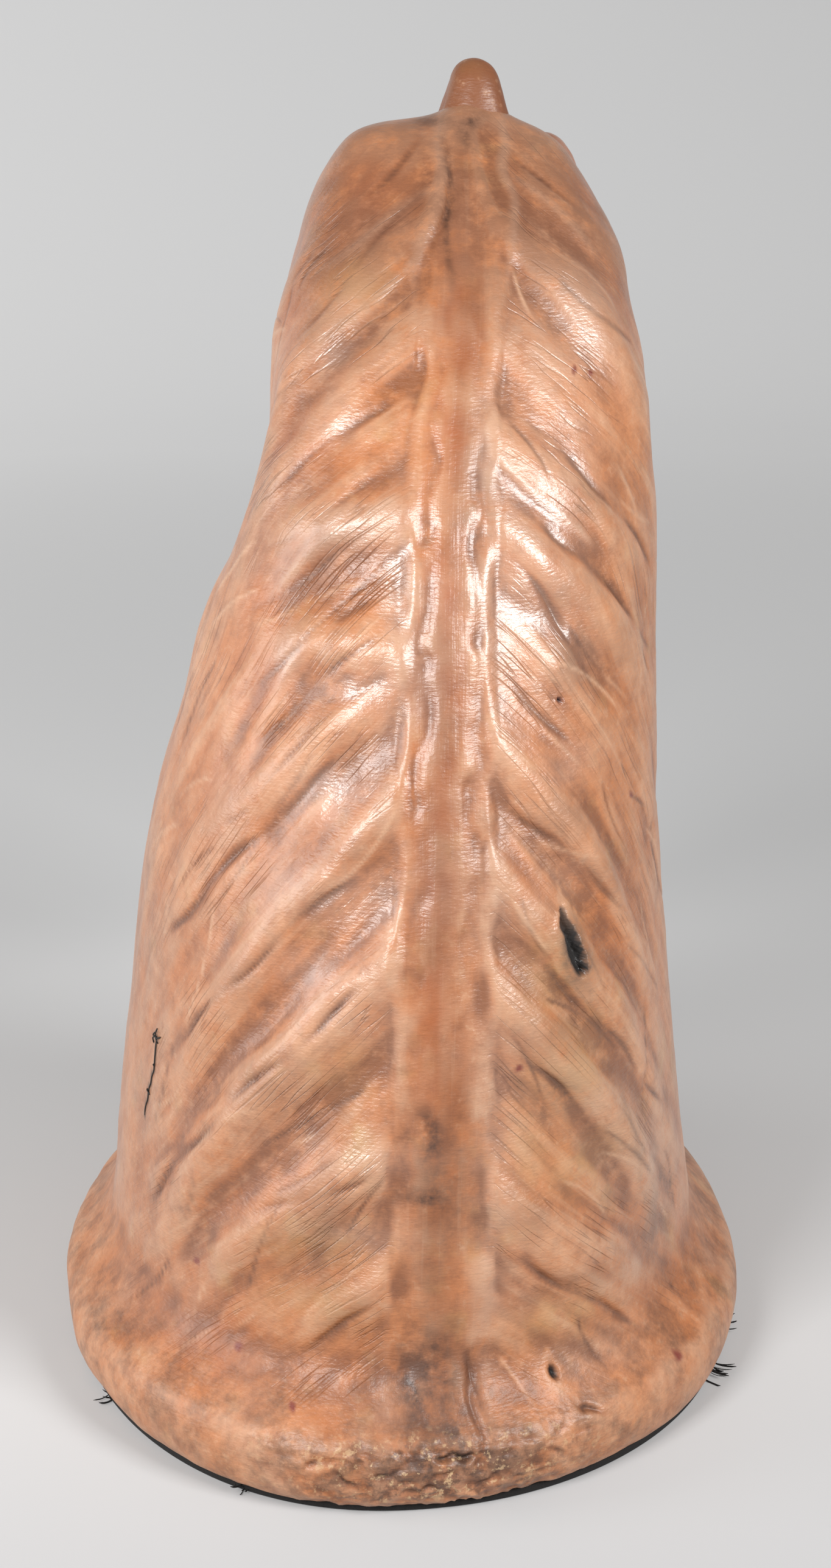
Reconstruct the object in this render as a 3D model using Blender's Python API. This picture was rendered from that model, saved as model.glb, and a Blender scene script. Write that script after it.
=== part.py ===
"""Horse head bust: a leather-covered neck and head on a rolled rim, over a felt base pad.

Metres, +Z up.  The horse faces -Y and its left side is +X.  The origin is on the ground,
under the middle of the base.  The form is worked out in millimetres for a bust of
DRAWN_HEIGHT and scaled to BUST_HEIGHT, so the pose and the carving are shares of the height.
In the form's own axes "forward" is the way the horse faces (-Y) and "side" is its left (+X).
"""
import bpy
import bmesh
import numpy as np

# Sizes of the whole bust, in metres.
BUST_HEIGHT = 0.680
BASE_WIDTH = 0.384
BASE_DEPTH = 0.483

# Rolled rim of leather round the foot.
RIM_HEIGHT = 0.040
RIM_EDGE = 0.017
RIM_UNDERCUT = 0.009

# Felt-covered pad under the rim.
PAD_THICKNESS = 0.005
PAD_INSET = 0.008
PAD_EDGE = 0.0015
CONTACT_GAP = 0.0003

# How finely the leather form is cut into facets.
ROWS = 94
COLUMNS = 46
EAR_ROWS = 12
EAR_COLUMNS = 16
LOCK_ROWS = 16
LOCK_COLUMNS = 14
PAD_COLUMNS = 72

# The height, in millimetres, that the proportions below are drawn for.
DRAWN_HEIGHT = 680.0

# Cross-sections from the foot of the neck, over the poll and down the face to the lips.
# Each has its point on the crest or face line (forward, up), its point on the throat or jaw
# line (forward, up), its half width, how far those two points stand to the side, and how
# square the section is towards each of them (1 is an ellipse, less is squarer).
SECTIONS = (
    ("foot of neck", (-212, 74), (198, 74), 162, (4, 0), (0.95, 0.95)),
    ("low neck", (-204, 185), (163, 175), 148, (2, 6), (0.97, 0.95)),
    ("middle of neck", (-171, 340), (108, 298), 130, (-4, 5), (1.00, 0.95)),
    ("upper neck", (-116, 475), (68, 382), 112, (-12, -28), (0.95, 0.95)),
    ("nape", (-30, 583), (48, 438), 101, (-29, -34), (0.86, 0.95)),
    ("poll", (70, 649), (47, 456), 88, (-37, -27), (0.60, 0.92)),
    ("forehead", (167, 614), (59, 442), 87, (-40, -40), (0.78, 0.88)),
    ("brow", (224, 555), (88, 409), 82, (-38, -43), (0.84, 1.00)),
    ("eye", (260, 484), (149, 371), 73, (-36, -42), (0.82, 0.95)),
    ("cheek", (296, 412), (215, 325), 57, (-35, -39), (0.82, 0.92)),
    ("nose", (334, 341), (263, 273), 50, (-33, -36), (0.84, 0.95)),
    ("nostrils", (361, 279), (298, 232), 48, (-32, -35), (0.95, 1.00)),
    ("lips", (357, 241), (340, 231), 19, (-32, -33), (1.00, 1.00)),
)

# Folds of leather that leave the crest band and fall outwards on each side of the neck:
# height at the band, fall for each millimetre outwards, length, rise and width of the fold.
LEFT_FOLDS = (
    (604, 0.85, 120, 3.5, 12),
    (560, 0.80, 110, 3.0, 10),
    (470, 0.05, 95, 5.0, 13),
    (411, -0.10, 90, 4.5, 11),
    (396, 0.60, 115, 3.5, 11),
    (347, 1.00, 150, 5.0, 13),
    (272, 0.95, 160, 6.0, 16),
    (174, 0.55, 120, 5.0, 16),
    (108, 0.75, 110, 4.5, 14),
)
RIGHT_FOLDS = (
    (604, 0.85, 120, 3.5, 12),
    (500, 0.50, 110, 3.5, 11),
    (470, 0.65, 120, 5.0, 13),
    (369, 1.00, 125, 5.0, 12),
    (312, 0.90, 130, 4.5, 14),
    (254, 0.85, 130, 5.5, 16),
    (150, 0.65, 125, 5.0, 17),
)

# Other lumps and hollows of the neck: distance round from the crest (the horse's left is
# positive) and height of the middle, half length, half width, tilt in degrees and rise.
LUMPS = (
    (150, 476, 54, 15, -56, -15.0),
    (128, 530, 60, 22, -60, 1.5),
    (168, 404, 38, 24, -50, 5.0),
    (54, 640, 26, 13, 0, 4.0),
    (108, 585, 32, 15, -35, -3.5),
    (-104, 585, 32, 15, -35, 3.5),
    (-78, 622, 24, 12, -35, -2.0),
    (-147, 488, 26, 18, -50, -2.5),
    (-37, 444, 16, 13, -40, 2.5),
    (-56, 403, 15, 12, -30, 4.0),
    (-166, 97, 30, 26, 0, -3.5),
    (-75, 300, 26, 10, -45, -2.5),
)

# Band of leather along the crest, with a soft raised edge on each side.
BAND_HALF_WIDTH_LOW = 27.0
BAND_HALF_WIDTH_TOP = 17.0
BAND_EDGE_HEIGHT = 1.4
BAND_MIDDLE_HEIGHT = 2.2
BAND_EDGE_WIDTH = 8.0

# Features of the face as seen from the side (forward, up), in drawn millimetres.
EYE = (206, 517)
NOSTRIL = (337, 297)
MOUTH_CORNER = (297, 272)
MOUTH_FRONT = (350, 244)
CHEEK_DISC = (140, 468)
FACE_LEAN = np.radians(62.0)

# Ears and forelock, in drawn millimetres: (side, forward, up).
EAR_ROOT = (41.0, 92.0, 606.0)
LEFT_EAR_TIP = (50.0, 176.0, 630.0)
RIGHT_EAR_TIP = (-64.0, 174.0, 632.0)
EAR_WIDTH = 54.0
EAR_THICKNESS = 22.0
EAR_ROLL = 0.75
FORELOCK_PATH = (
    (-4, 70, 596),
    (-5, 69, 637),
    (-5, 81, 667),
    (-4, 105, 657),
    (-1, 134, 629),
    (1, 168, 606),
    (1, 200, 579),
    (0, 222, 551),
)
FORELOCK_WIDTHS = (21.0, 17.0, 12.5, 16.0, 19.0, 20.0, 15.0, 5.0)
LOCK_FLARE_RISE = 9.0
LOCK_FLARE_REACH = 19.0
FORELOCK_DEPTHS = (17.0, 15.5, 13.0, 14.5, 13.0, 10.0, 8.0, 4.0)
HEAD_TURN = 0.05
POLL_SIDE = -44.0
POLL_FORWARD = 70.0


def smooth(value):
    """Smooth step from 0 to 1, flat at both ends."""
    t = np.clip(value, 0.0, 1.0)
    return t * t * (3.0 - 2.0 * t)


def hump(distance, width):
    """Rounded hump, 1 at the middle and near 0 at twice the width."""
    return np.exp(-(distance / width) ** 2)


def spline(knots, values, t):
    """Smooth curve through the rows of values, read at the places t."""
    slopes = np.gradient(values, knots, axis=0)
    last = len(knots) - 2
    i = np.clip(np.searchsorted(knots, t, side="right") - 1, 0, last)
    span = (knots[i + 1] - knots[i])[:, None]
    s = ((t - knots[i]) / span[:, 0])[:, None]
    start, end = values[i], values[i + 1]
    leave, arrive = slopes[i] * span, slopes[i + 1] * span
    bend = 3.0 * (end - start) - 2.0 * leave - arrive
    twist = 2.0 * (start - end) + leave + arrive
    return start + leave * s + bend * s**2 + twist * s**3


def section_table():
    """The sections as an array of rows, with the distance along the form at each."""
    table = np.array([
        (*back, *front, half, *shifts, *squareness)
        for _, back, front, half, shifts, squareness in SECTIONS
    ], dtype=float)
    back_steps = np.hypot(*np.diff(table[:, 0:2], axis=0).T)
    front_steps = np.hypot(*np.diff(table[:, 2:4], axis=0).T)
    knots = np.concatenate([[0.0], np.cumsum((back_steps + front_steps) / 2.0)])
    return knots, table


def turn_angles(count):
    """Angles round a section from the crest, closer together near the crest."""
    angle = np.linspace(-np.pi, np.pi, count, endpoint=False)
    return angle - 0.55 * np.sin(angle)


def base_outline(angle, width, depth, inset):
    """Outline of the foot at each angle from the back: a slightly uneven oval."""
    uneven = 1.0 + 0.029 * np.sin(2.0 * angle) + 0.004 * np.sin(5.0 * angle)
    square = 0.940
    side = uneven * np.sign(np.sin(angle)) * np.abs(np.sin(angle)) ** square
    forward = -uneven * np.sign(np.cos(angle)) * np.abs(np.cos(angle)) ** square
    side = side / np.max(np.abs(side)) * width / 2.0
    forward = forward / np.max(np.abs(forward)) * depth / 2.0
    scale = 1.0 - 2.0 * inset / (width + depth) * 2.0
    return side * scale, forward * scale


def facing_out(points):
    """Outward unit normals of a grid that closes round its second direction."""
    along = np.gradient(points, axis=0)
    round_ = (np.roll(points, -1, axis=1) - np.roll(points, 1, axis=1)) / 2.0
    normal = np.cross(round_, along)
    return normal / np.maximum(np.linalg.norm(normal, axis=2, keepdims=True), 1e-9)


def face_frame(forward, up, centre):
    """Distances from a feature's centre, along the face and across it, seen from the side."""
    df, du = forward - centre[0], up - centre[1]
    along = df * np.cos(FACE_LEAN) - du * np.sin(FACE_LEAN)
    across = df * np.sin(FACE_LEAN) + du * np.cos(FACE_LEAN)
    return along, across


def face_relief(forward, up):
    """Height of the carved face over the plain form, for each place seen from the side."""
    along, across = face_frame(forward, up, EYE)
    ring = np.hypot(along / 19.0, across / 14.0)
    relief = -7.0 * hump(ring, 1.5)
    relief += 8.0 * smooth(1.25 - ring)
    relief += 6.0 * hump(np.hypot((along + 2.0) / 2.2, across - 19.0), 8.0)
    relief += 3.0 * hump(np.hypot((along - 4.0) / 2.4, across + 20.0), 7.0)
    relief -= 4.0 * hump(np.hypot(along + 38.0, across - 6.0), 15.0)

    crest_along, crest_across = face_frame(forward, up, (243, 432))
    relief += 6.0 * hump(crest_across / 8.0, 1.0) * smooth(1.4 - np.abs(crest_along) / 42.0)
    relief -= 3.5 * hump((crest_across - 26.0) / 13.0, 1.0) * smooth(1.4 - np.abs(crest_along) / 60.0)

    disc = np.hypot(forward - CHEEK_DISC[0], (up - CHEEK_DISC[1]) * 0.95)
    relief += 4.5 * smooth((74.0 - disc) / 26.0)
    relief -= 4.0 * hump((disc - 76.0) / 9.0, 1.0) * smooth((forward - 120.0) / 40.0)

    along, across = face_frame(forward, up, NOSTRIL)
    ring = np.hypot(along / 17.0, across / 10.0)
    relief += 4.0 * hump(ring, 2.2) + 4.0 * hump(ring - 1.3, 0.45)
    relief -= 13.0 * smooth((1.2 - ring) / 0.7)

    run = np.subtract(MOUTH_FRONT, MOUTH_CORNER)
    length = np.hypot(*run)
    df, du = forward - MOUTH_CORNER[0], up - MOUTH_CORNER[1]
    travel = (df * run[0] + du * run[1]) / length
    off = (du * run[0] - df * run[1]) / length
    off = off + 3.0 * np.sin(np.clip(travel / length, 0.0, 1.0) * np.pi)
    on_lips = smooth((travel + 12.0) / 12.0) * smooth((length + 18.0 - travel) / 10.0)
    relief -= 4.5 * hump(off, 4.5) * on_lips
    relief += 2.5 * hump(off - 12.0, 6.0) * on_lips
    relief += 2.0 * hump(off + 12.0, 6.0) * on_lips
    return relief


def band_relief(distance, half_band):
    """Crest band with its raised edges, by distance round from the crest line."""
    away = np.abs(distance)
    relief = BAND_EDGE_HEIGHT * hump(away - half_band, BAND_EDGE_WIDTH)
    return relief + BAND_MIDDLE_HEIGHT * smooth((half_band - away) / BAND_EDGE_WIDTH + 0.5)


def fold_relief(side, distance, up, half_band):
    """Folds that leave the crest band and fall outwards, deepest near the band."""
    away = np.abs(distance)
    relief = np.zeros_like(away)
    for folds, sign in ((LEFT_FOLDS, 1.0), (RIGHT_FOLDS, -1.0)):
        here = np.where(np.sign(side) == sign, 1.0, 0.0)
        for height, fall, length, rise, width in folds:
            out = away - half_band
            centre = height - fall * out - 0.0016 * out**2
            across = (up - centre) / np.sqrt(1.0 + fall**2)
            fade = smooth(out / 10.0 + 0.6) * smooth((length - out) / 55.0)
            relief += here * rise * fade * hump(across, width)
            relief -= here * 0.35 * rise * fade * hump(across + 1.9 * width, width)
    return relief


def lump_relief(distance, up):
    """Other lumps and hollows, each a tilted rounded hump on the unrolled side of the neck."""
    relief = np.zeros_like(distance)
    for middle, height, half_length, half_width, tilt, rise in LUMPS:
        cos, sin = np.cos(np.radians(tilt)), np.sin(np.radians(tilt))
        out = (distance - middle) * np.sign(middle)
        along = out * cos + (up - height) * sin
        across = (up - height) * cos - out * sin
        relief += rise * hump(np.hypot(along / half_length, across / half_width), 1.0)
    return relief


def rim_sweep(start, foot, inward, leave_angle, arrive, steps):
    """Rows that sweep from the rolled rim into the foot of the neck."""
    leave = inward * np.sin(leave_angle)
    leave[:, 2] = np.cos(leave_angle)
    arrive = arrive / np.linalg.norm(arrive, axis=1, keepdims=True)
    span = np.linalg.norm(foot - start, axis=1, keepdims=True)
    rows = []
    for s in steps:
        row = start * (2.0 * s**3 - 3.0 * s**2 + 1.0) + foot * (3.0 * s**2 - 2.0 * s**3)
        row = row + leave * span * (s**3 - 2.0 * s**2 + s) * 0.8
        rows.append(row + arrive * span * (s**3 - s**2))
    return rows


def bust_grid(rows, columns):
    """Points of the leather form in drawn millimetres (side, forward, up).

    The first rows run from the rim's underside round the rolled edge to the neck.  The others
    follow the sections, each a closed curve whose side reach is the half width times the sine
    of the angle from the crest, raised to the section's squareness.
    """
    scale = DRAWN_HEIGHT / BUST_HEIGHT
    knots, table = section_table()
    neck_rows = rows - 15
    t = np.linspace(0.0, knots[-1], neck_rows)
    shape = spline(knots, table, t)
    angle = turn_angles(columns)
    cos, sin = np.cos(angle)[None, :], np.sin(angle)[None, :]
    share = (1.0 - cos) / 2.0
    power = shape[:, 7:8] + (shape[:, 8:9] - shape[:, 7:8]) * smooth(share)
    side = shape[:, 4:5] * np.sign(sin) * np.abs(sin) ** power
    forward = shape[:, 0:1] + (shape[:, 2:3] - shape[:, 0:1]) * share
    up = shape[:, 1:2] + (shape[:, 3:4] - shape[:, 1:2]) * share
    points = np.stack([side, forward, up], axis=2)

    steps = np.linalg.norm(points - np.roll(points, 1, axis=1), axis=2)
    travelled = np.cumsum(steps, axis=1)
    crest = int(np.argmin(np.abs(angle)))
    distance = travelled - travelled[:, crest:crest + 1]
    height_share = np.clip((up[:, crest:crest + 1] - 74.0) / 560.0, 0.0, 1.0)
    half_band = BAND_HALF_WIDTH_LOW + (BAND_HALF_WIDTH_TOP - BAND_HALF_WIDTH_LOW) * height_share

    poll_t = knots[5]
    half_band = half_band * (1.0 - 0.6 * smooth((t - poll_t + 70.0) / 60.0)[:, None])
    on_band = smooth((poll_t + 8.0 - t) / 25.0)[:, None] * smooth(t / 40.0)[:, None]
    on_neck = smooth((poll_t - t) / 70.0)[:, None] * smooth(t / 40.0)[:, None]
    on_face = smooth((t - poll_t - 20.0) / 60.0)[:, None]
    on_side = smooth((np.abs(sin) - 0.12) / 0.5) * smooth((t[-1] - t) / 30.0)[:, None]
    relief = on_band * band_relief(distance, half_band)
    relief = relief + on_neck * fold_relief(side, distance, up, half_band)
    relief = relief + smooth((poll_t + 40.0 - t) / 60.0)[:, None] * lump_relief(distance, up)
    shift = shape[:, 5:6] + (shape[:, 6:7] - shape[:, 5:6]) * share
    lock_side = POLL_SIDE + FORELOCK_PATH[1][0]
    to_lock = np.hypot(side + shift - lock_side, forward - FORELOCK_PATH[1][1])
    relief = relief + LOCK_FLARE_RISE * hump(to_lock, LOCK_FLARE_REACH) * smooth((up - 590.0) / 30.0)
    relief = relief + on_face * on_side * face_relief(forward, up)
    points = points + facing_out(points) * relief[:, :, None]

    points[:, :, 0] += shift

    pad_top = (PAD_THICKNESS + CONTACT_GAP) * scale
    rim_side, rim_forward = base_outline(angle, BASE_WIDTH * scale, BASE_DEPTH * scale, 0.0)
    rim = np.stack([rim_side, rim_forward, np.zeros_like(rim_side)], axis=1)
    foot = points[0]
    inward = foot - rim
    inward[:, 2] = 0.0
    reach = np.linalg.norm(inward, axis=1, keepdims=True)
    inward = inward / np.maximum(reach, 1e-9)
    roll_rows = []
    edge, under = RIM_EDGE * scale, RIM_UNDERCUT * scale
    top = pad_top + RIM_HEIGHT * scale
    for turn in np.linspace(-90.0, 55.0, 8):
        drop = np.radians(turn)
        back_off = (edge if turn > 0.0 else under) * (1.0 - np.cos(drop))
        middle = (pad_top + top) / 2.0
        ring = rim + inward * back_off
        ring[:, 2] = middle + (top - pad_top) / 2.0 * np.sin(drop)
        roll_rows.append(ring)
    leave_angle = np.arctan2(edge * np.sin(drop), (top - pad_top) / 2.0 * np.cos(drop))
    roll_rows += rim_sweep(roll_rows[-1], foot, inward, leave_angle, points[1] - foot,
                           (0.2, 0.4, 0.6, 0.8))
    underside = [rim * part for part in (0.35, 0.7, 0.9)]
    for ring in underside:
        ring[:, 2] = pad_top
    return np.concatenate([np.array(underside + roll_rows), points], axis=0)


def ear_grid(rows, columns, sign):
    """Points of one ear: a leaf that widens from its root, cups forwards and ends in a tip."""
    root = np.array([sign * EAR_ROOT[0], EAR_ROOT[1], EAR_ROOT[2]])
    tip = np.array(LEFT_EAR_TIP if sign > 0.0 else RIGHT_EAR_TIP)
    line = tip - root
    length = np.linalg.norm(line)
    ahead = line / length
    across = np.cross(ahead, (sign * EAR_ROLL, 0.0, 1.0))
    across = across / np.linalg.norm(across)
    over = np.cross(across, ahead)
    over = over * np.sign(over[2])
    t = np.linspace(0.0, 1.0, rows)[:, None]
    angle = np.linspace(0.0, 2.0 * np.pi, columns, endpoint=False)[None, :]
    width = EAR_WIDTH / 2.0 * (0.80 + 1.0 * t - 0.6 * t**2) * np.clip(1.0 - t**2.2, 0.02, 1.0) ** 0.65
    depth = EAR_THICKNESS / 2.0 * (1.25 - 0.7 * t) * np.sqrt(np.clip(1.0 - t**3, 0.05, 1.0))
    flat = width * np.cos(angle)
    thick = depth * np.sin(angle)
    cup = -0.35 * (flat**2) / (EAR_WIDTH / 2.0) * smooth(t * 2.0)
    bow = 7.0 * np.sin(np.pi * t)
    points = root + ahead * (t * length)[:, :, None] + across * flat[:, :, None]
    points = points + over * (thick + cup + bow)[:, :, None]
    return with_head_turn(points)


def forelock_grid(rows, columns):
    """Points of the forelock: a lock that stands up over the poll and falls down the forehead."""
    path = np.array(FORELOCK_PATH, dtype=float)
    knots = np.concatenate([[0.0], np.cumsum(np.linalg.norm(np.diff(path, axis=0), axis=1))])
    t = np.linspace(0.0, knots[-1], rows)
    centre = spline(knots, path, t)
    wide = spline(knots, np.array(FORELOCK_WIDTHS)[:, None], t)
    deep = spline(knots, np.array(FORELOCK_DEPTHS)[:, None], t)
    ahead = np.gradient(centre, axis=0)
    ahead = ahead / np.linalg.norm(ahead, axis=1, keepdims=True)
    across = np.array([1.0, 0.0, 0.0])
    over = np.cross(across, ahead)
    angle = np.linspace(0.0, 2.0 * np.pi, columns, endpoint=False)[None, :]
    end = np.sqrt(np.clip(1.0 - (t / knots[-1])[:, None] ** 8, 0.10, 1.0))
    points = centre[:, None, :] + across * (wide * end * np.cos(angle))[:, :, None]
    points = points + over[:, None, :] * (deep * end * np.sin(angle))[:, :, None]
    return with_head_turn(points)


def with_head_turn(points):
    """Moves points drawn on a straight head to the turned head's place."""
    turned = points.copy()
    turned[:, :, 0] += POLL_SIDE + HEAD_TURN * (points[:, :, 1] - POLL_FORWARD)
    return turned


def to_world(points):
    """Drawn (side, forward, up) in millimetres to metres with the horse facing -Y."""
    scale = BUST_HEIGHT / DRAWN_HEIGHT
    return points * np.array([1.0, -1.0, 1.0]) * scale


def grid_mesh(name, grid):
    """Closed mesh of a grid that closes round its second direction, with a pole at each end."""
    rows, columns, _ = grid.shape
    verts = [tuple(p) for p in grid.reshape(-1, 3)]
    verts.append(tuple(grid[0].mean(axis=0)))
    verts.append(tuple(grid[-1].mean(axis=0)))
    faces = []
    for i in range(rows - 1):
        for j in range(columns):
            k = (j + 1) % columns
            a, b = i * columns + j, i * columns + k
            c, d = (i + 1) * columns + k, (i + 1) * columns + j
            faces.append((a, b, c))
            faces.append((a, c, d))
    first, last = rows * columns, rows * columns + 1
    for j in range(columns):
        k = (j + 1) % columns
        faces.append((first, k, j))
        faces.append((last, (rows - 1) * columns + j, (rows - 1) * columns + k))
    mesh = bpy.data.meshes.new(name)
    mesh.from_pydata(verts, [], faces)
    edit = bmesh.new()
    edit.from_mesh(mesh)
    bmesh.ops.recalc_face_normals(edit, faces=edit.faces)
    edit.to_mesh(mesh)
    edit.free()
    mesh.shade_smooth()
    return mesh


def make_object(name, mesh, collection, material):
    """Object for a mesh, in a collection, with its material."""
    piece = bpy.data.objects.new(name, mesh)
    collection.objects.link(piece)
    mesh.materials.append(material)
    return piece


def make_material(name, colour, roughness, metallic):
    """Plain material with a colour, a roughness and a metallic value."""
    material = bpy.data.materials.new(name)
    material.use_nodes = True
    shader = material.node_tree.nodes["Principled BSDF"]
    shader.inputs["Base Color"].default_value = (*colour, 1.0)
    shader.inputs["Roughness"].default_value = roughness
    shader.inputs["Metallic"].default_value = metallic
    material.diffuse_color = (*colour, 1.0)
    return material


def union(target, cutter):
    """Joins the cutter's form to the target's."""
    modifier = target.modifiers.new("join " + cutter.name, "BOOLEAN")
    modifier.operation = "UNION"
    modifier.solver = "EXACT"
    modifier.object = cutter
    cutter.hide_render = True
    cutter.display_type = "WIRE"


def make_bust(parts, helpers):
    """The leather-covered neck and head, with its ears and forelock, as one body."""
    leather = make_material("tan_leather", (0.46, 0.23, 0.13), 0.42, 0.0)
    bust = make_object("horse_bust", grid_mesh("horse_bust", to_world(bust_grid(ROWS, COLUMNS))),
                       parts, leather)
    for name, sign in (("ear_left", 1.0), ("ear_right", -1.0)):
        grid = to_world(ear_grid(EAR_ROWS, EAR_COLUMNS, sign))
        union(bust, make_object(name, grid_mesh(name, grid), helpers, leather))
    grid = to_world(forelock_grid(LOCK_ROWS, LOCK_COLUMNS))
    union(bust, make_object("forelock", grid_mesh("forelock", grid), helpers, leather))
    weld = bust.modifiers.new("close seams", "WELD")
    weld.merge_threshold = 0.0001
    split = bust.modifiers.new("split faces", "TRIANGULATE")
    split.quad_method = "BEAUTY"
    split.ngon_method = "BEAUTY"
    return bust


def make_pad(parts):
    """The felt-covered pad that closes the underside, a little inside the rim."""
    felt = make_material("black_felt", (0.012, 0.011, 0.010), 0.95, 0.0)
    angle = np.linspace(-np.pi, np.pi, PAD_COLUMNS, endpoint=False)
    rings = []
    for inset, height in ((PAD_INSET + PAD_EDGE, 0.0), (PAD_INSET, PAD_EDGE),
                          (PAD_INSET, PAD_THICKNESS)):
        side, forward = base_outline(angle, BASE_WIDTH, BASE_DEPTH, inset)
        rings.append(np.stack([side, -forward, np.full_like(side, height)], axis=1))
    return make_object("base_pad", grid_mesh("base_pad", np.array(rings)), parts, felt)


def clear_scene():
    """Removes every object of the scene."""
    for piece in list(bpy.data.objects):
        bpy.data.objects.remove(piece, do_unlink=True)


def new_collection(name):
    """New collection in the scene."""
    collection = bpy.data.collections.new(name)
    bpy.context.scene.collection.children.link(collection)
    return collection


def main():
    """Builds the bust and its pad."""
    clear_scene()
    parts = new_collection("horse_head_bust")
    helpers = new_collection("helpers")
    make_bust(parts, helpers)
    make_pad(parts)


if __name__ == "__main__":
    main()
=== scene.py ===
import bmesh
import bpy
import numpy as np
from bpy.props import FloatProperty, IntProperty, PointerProperty, StringProperty
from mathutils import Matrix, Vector


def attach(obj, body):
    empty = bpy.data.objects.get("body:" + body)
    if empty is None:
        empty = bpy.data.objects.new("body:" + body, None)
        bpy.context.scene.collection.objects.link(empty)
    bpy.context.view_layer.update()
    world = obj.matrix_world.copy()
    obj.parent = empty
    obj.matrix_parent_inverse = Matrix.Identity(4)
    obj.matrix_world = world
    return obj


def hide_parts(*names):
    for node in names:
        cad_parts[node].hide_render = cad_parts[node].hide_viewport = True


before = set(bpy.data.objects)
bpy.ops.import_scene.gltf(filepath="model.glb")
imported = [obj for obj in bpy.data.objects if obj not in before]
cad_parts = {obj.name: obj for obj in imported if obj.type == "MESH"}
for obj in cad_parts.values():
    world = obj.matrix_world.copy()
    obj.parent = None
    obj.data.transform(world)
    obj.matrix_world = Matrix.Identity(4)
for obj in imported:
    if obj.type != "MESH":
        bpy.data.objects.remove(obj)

bl_info = {
    "name": "Leather Horse Head Bust",
    "version": (1, 0, 0),
    "blender": (4, 5, 0),
    "location": "View3D > Sidebar > Bust",
    "description": "Builds the leather skin, felt, repairs and stage of a horse head bust",
    "category": "Add Mesh",
}

# Millimetres to metres, with the horse facing -Y in the scene.
MILLIMETRE = 0.001
FACING = np.array([1.0, -1.0, 1.0])

# Points along each side of the lattice of random values.
LATTICE = 64

# Cross-sections of the form from the foot of the neck, over the poll and down the face:
# crest or face point (forward, up), throat or jaw point (forward, up), half width, how far
# the two points stand to the side, and how square the section is towards each of them.
SECTIONS = (
    ("foot of neck", (-212, 74), (198, 74), 162, (4, 0), (0.95, 0.95)),
    ("low neck", (-204, 185), (163, 175), 148, (2, 6), (0.97, 0.95)),
    ("middle of neck", (-171, 340), (108, 298), 130, (-4, 5), (1.00, 0.95)),
    ("upper neck", (-116, 475), (68, 382), 112, (-12, -28), (0.95, 0.95)),
    ("nape", (-30, 583), (48, 438), 101, (-29, -34), (0.86, 0.95)),
    ("poll", (70, 649), (47, 456), 88, (-37, -27), (0.60, 0.92)),
    ("forehead", (167, 614), (59, 442), 87, (-40, -40), (0.78, 0.88)),
    ("brow", (224, 555), (88, 409), 82, (-38, -43), (0.84, 1.00)),
    ("eye", (260, 484), (149, 371), 73, (-36, -42), (0.82, 0.95)),
    ("cheek", (296, 412), (215, 325), 57, (-35, -39), (0.82, 0.92)),
    ("nose", (334, 341), (263, 273), 50, (-33, -36), (0.84, 0.95)),
    ("nostrils", (361, 279), (298, 232), 48, (-32, -35), (0.95, 1.00)),
    ("lips", (357, 241), (340, 231), 19, (-32, -33), (1.00, 1.00)),
)
# Place of the poll among the sections.
POLL = 5

# How far the columns crowd towards the crest, how square the foot's oval is, the gap between
# the rim and the pad, and the jump by which a face across the unrolled skin's seam is known.
CREST_CROWDING = 0.55
BASE_SQUARENESS = 0.940
PAD_GAP = 0.0003
SEAM_JUMP = 0.2

# Folds of leather that leave the crest band and fall outwards: height at the band, fall for
# each millimetre outwards, length, rise and width, in millimetres.
LEFT_FOLDS = (
    (604, 0.85, 120, 3.5, 12), (560, 0.80, 110, 3.0, 10), (470, 0.05, 95, 5.0, 13),
    (411, -0.10, 90, 4.5, 11), (396, 0.60, 115, 3.5, 11), (347, 1.00, 150, 5.0, 13),
    (272, 0.95, 160, 6.0, 16), (174, 0.55, 120, 5.0, 16), (108, 0.75, 110, 4.5, 14),
)
RIGHT_FOLDS = (
    (604, 0.85, 120, 3.5, 12), (500, 0.50, 110, 3.5, 11), (470, 0.65, 120, 5.0, 13),
    (369, 1.00, 125, 5.0, 12), (312, 0.90, 130, 4.5, 14), (254, 0.85, 130, 5.5, 16),
    (150, 0.65, 125, 5.0, 17),
)

# Other lumps and hollows of the neck: distance round from the crest (the horse's left is
# positive) and height of the middle, half length, half width, tilt in degrees and rise.
LUMPS = (
    (150, 476, 54, 15, -56, -15.0), (128, 530, 60, 22, -60, 1.5), (168, 404, 38, 24, -50, 5.0),
    (54, 640, 26, 13, 0, 4.0), (108, 585, 32, 15, -35, -3.5), (-104, 585, 32, 15, -35, 3.5),
    (-78, 622, 24, 12, -35, -2.0), (-147, 488, 26, 18, -50, -2.5), (-37, 444, 16, 13, -40, 2.5),
    (-56, 403, 15, 12, -30, 4.0), (-166, 97, 30, 26, 0, -3.5), (-75, 300, 26, 10, -45, -2.5),
)

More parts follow.
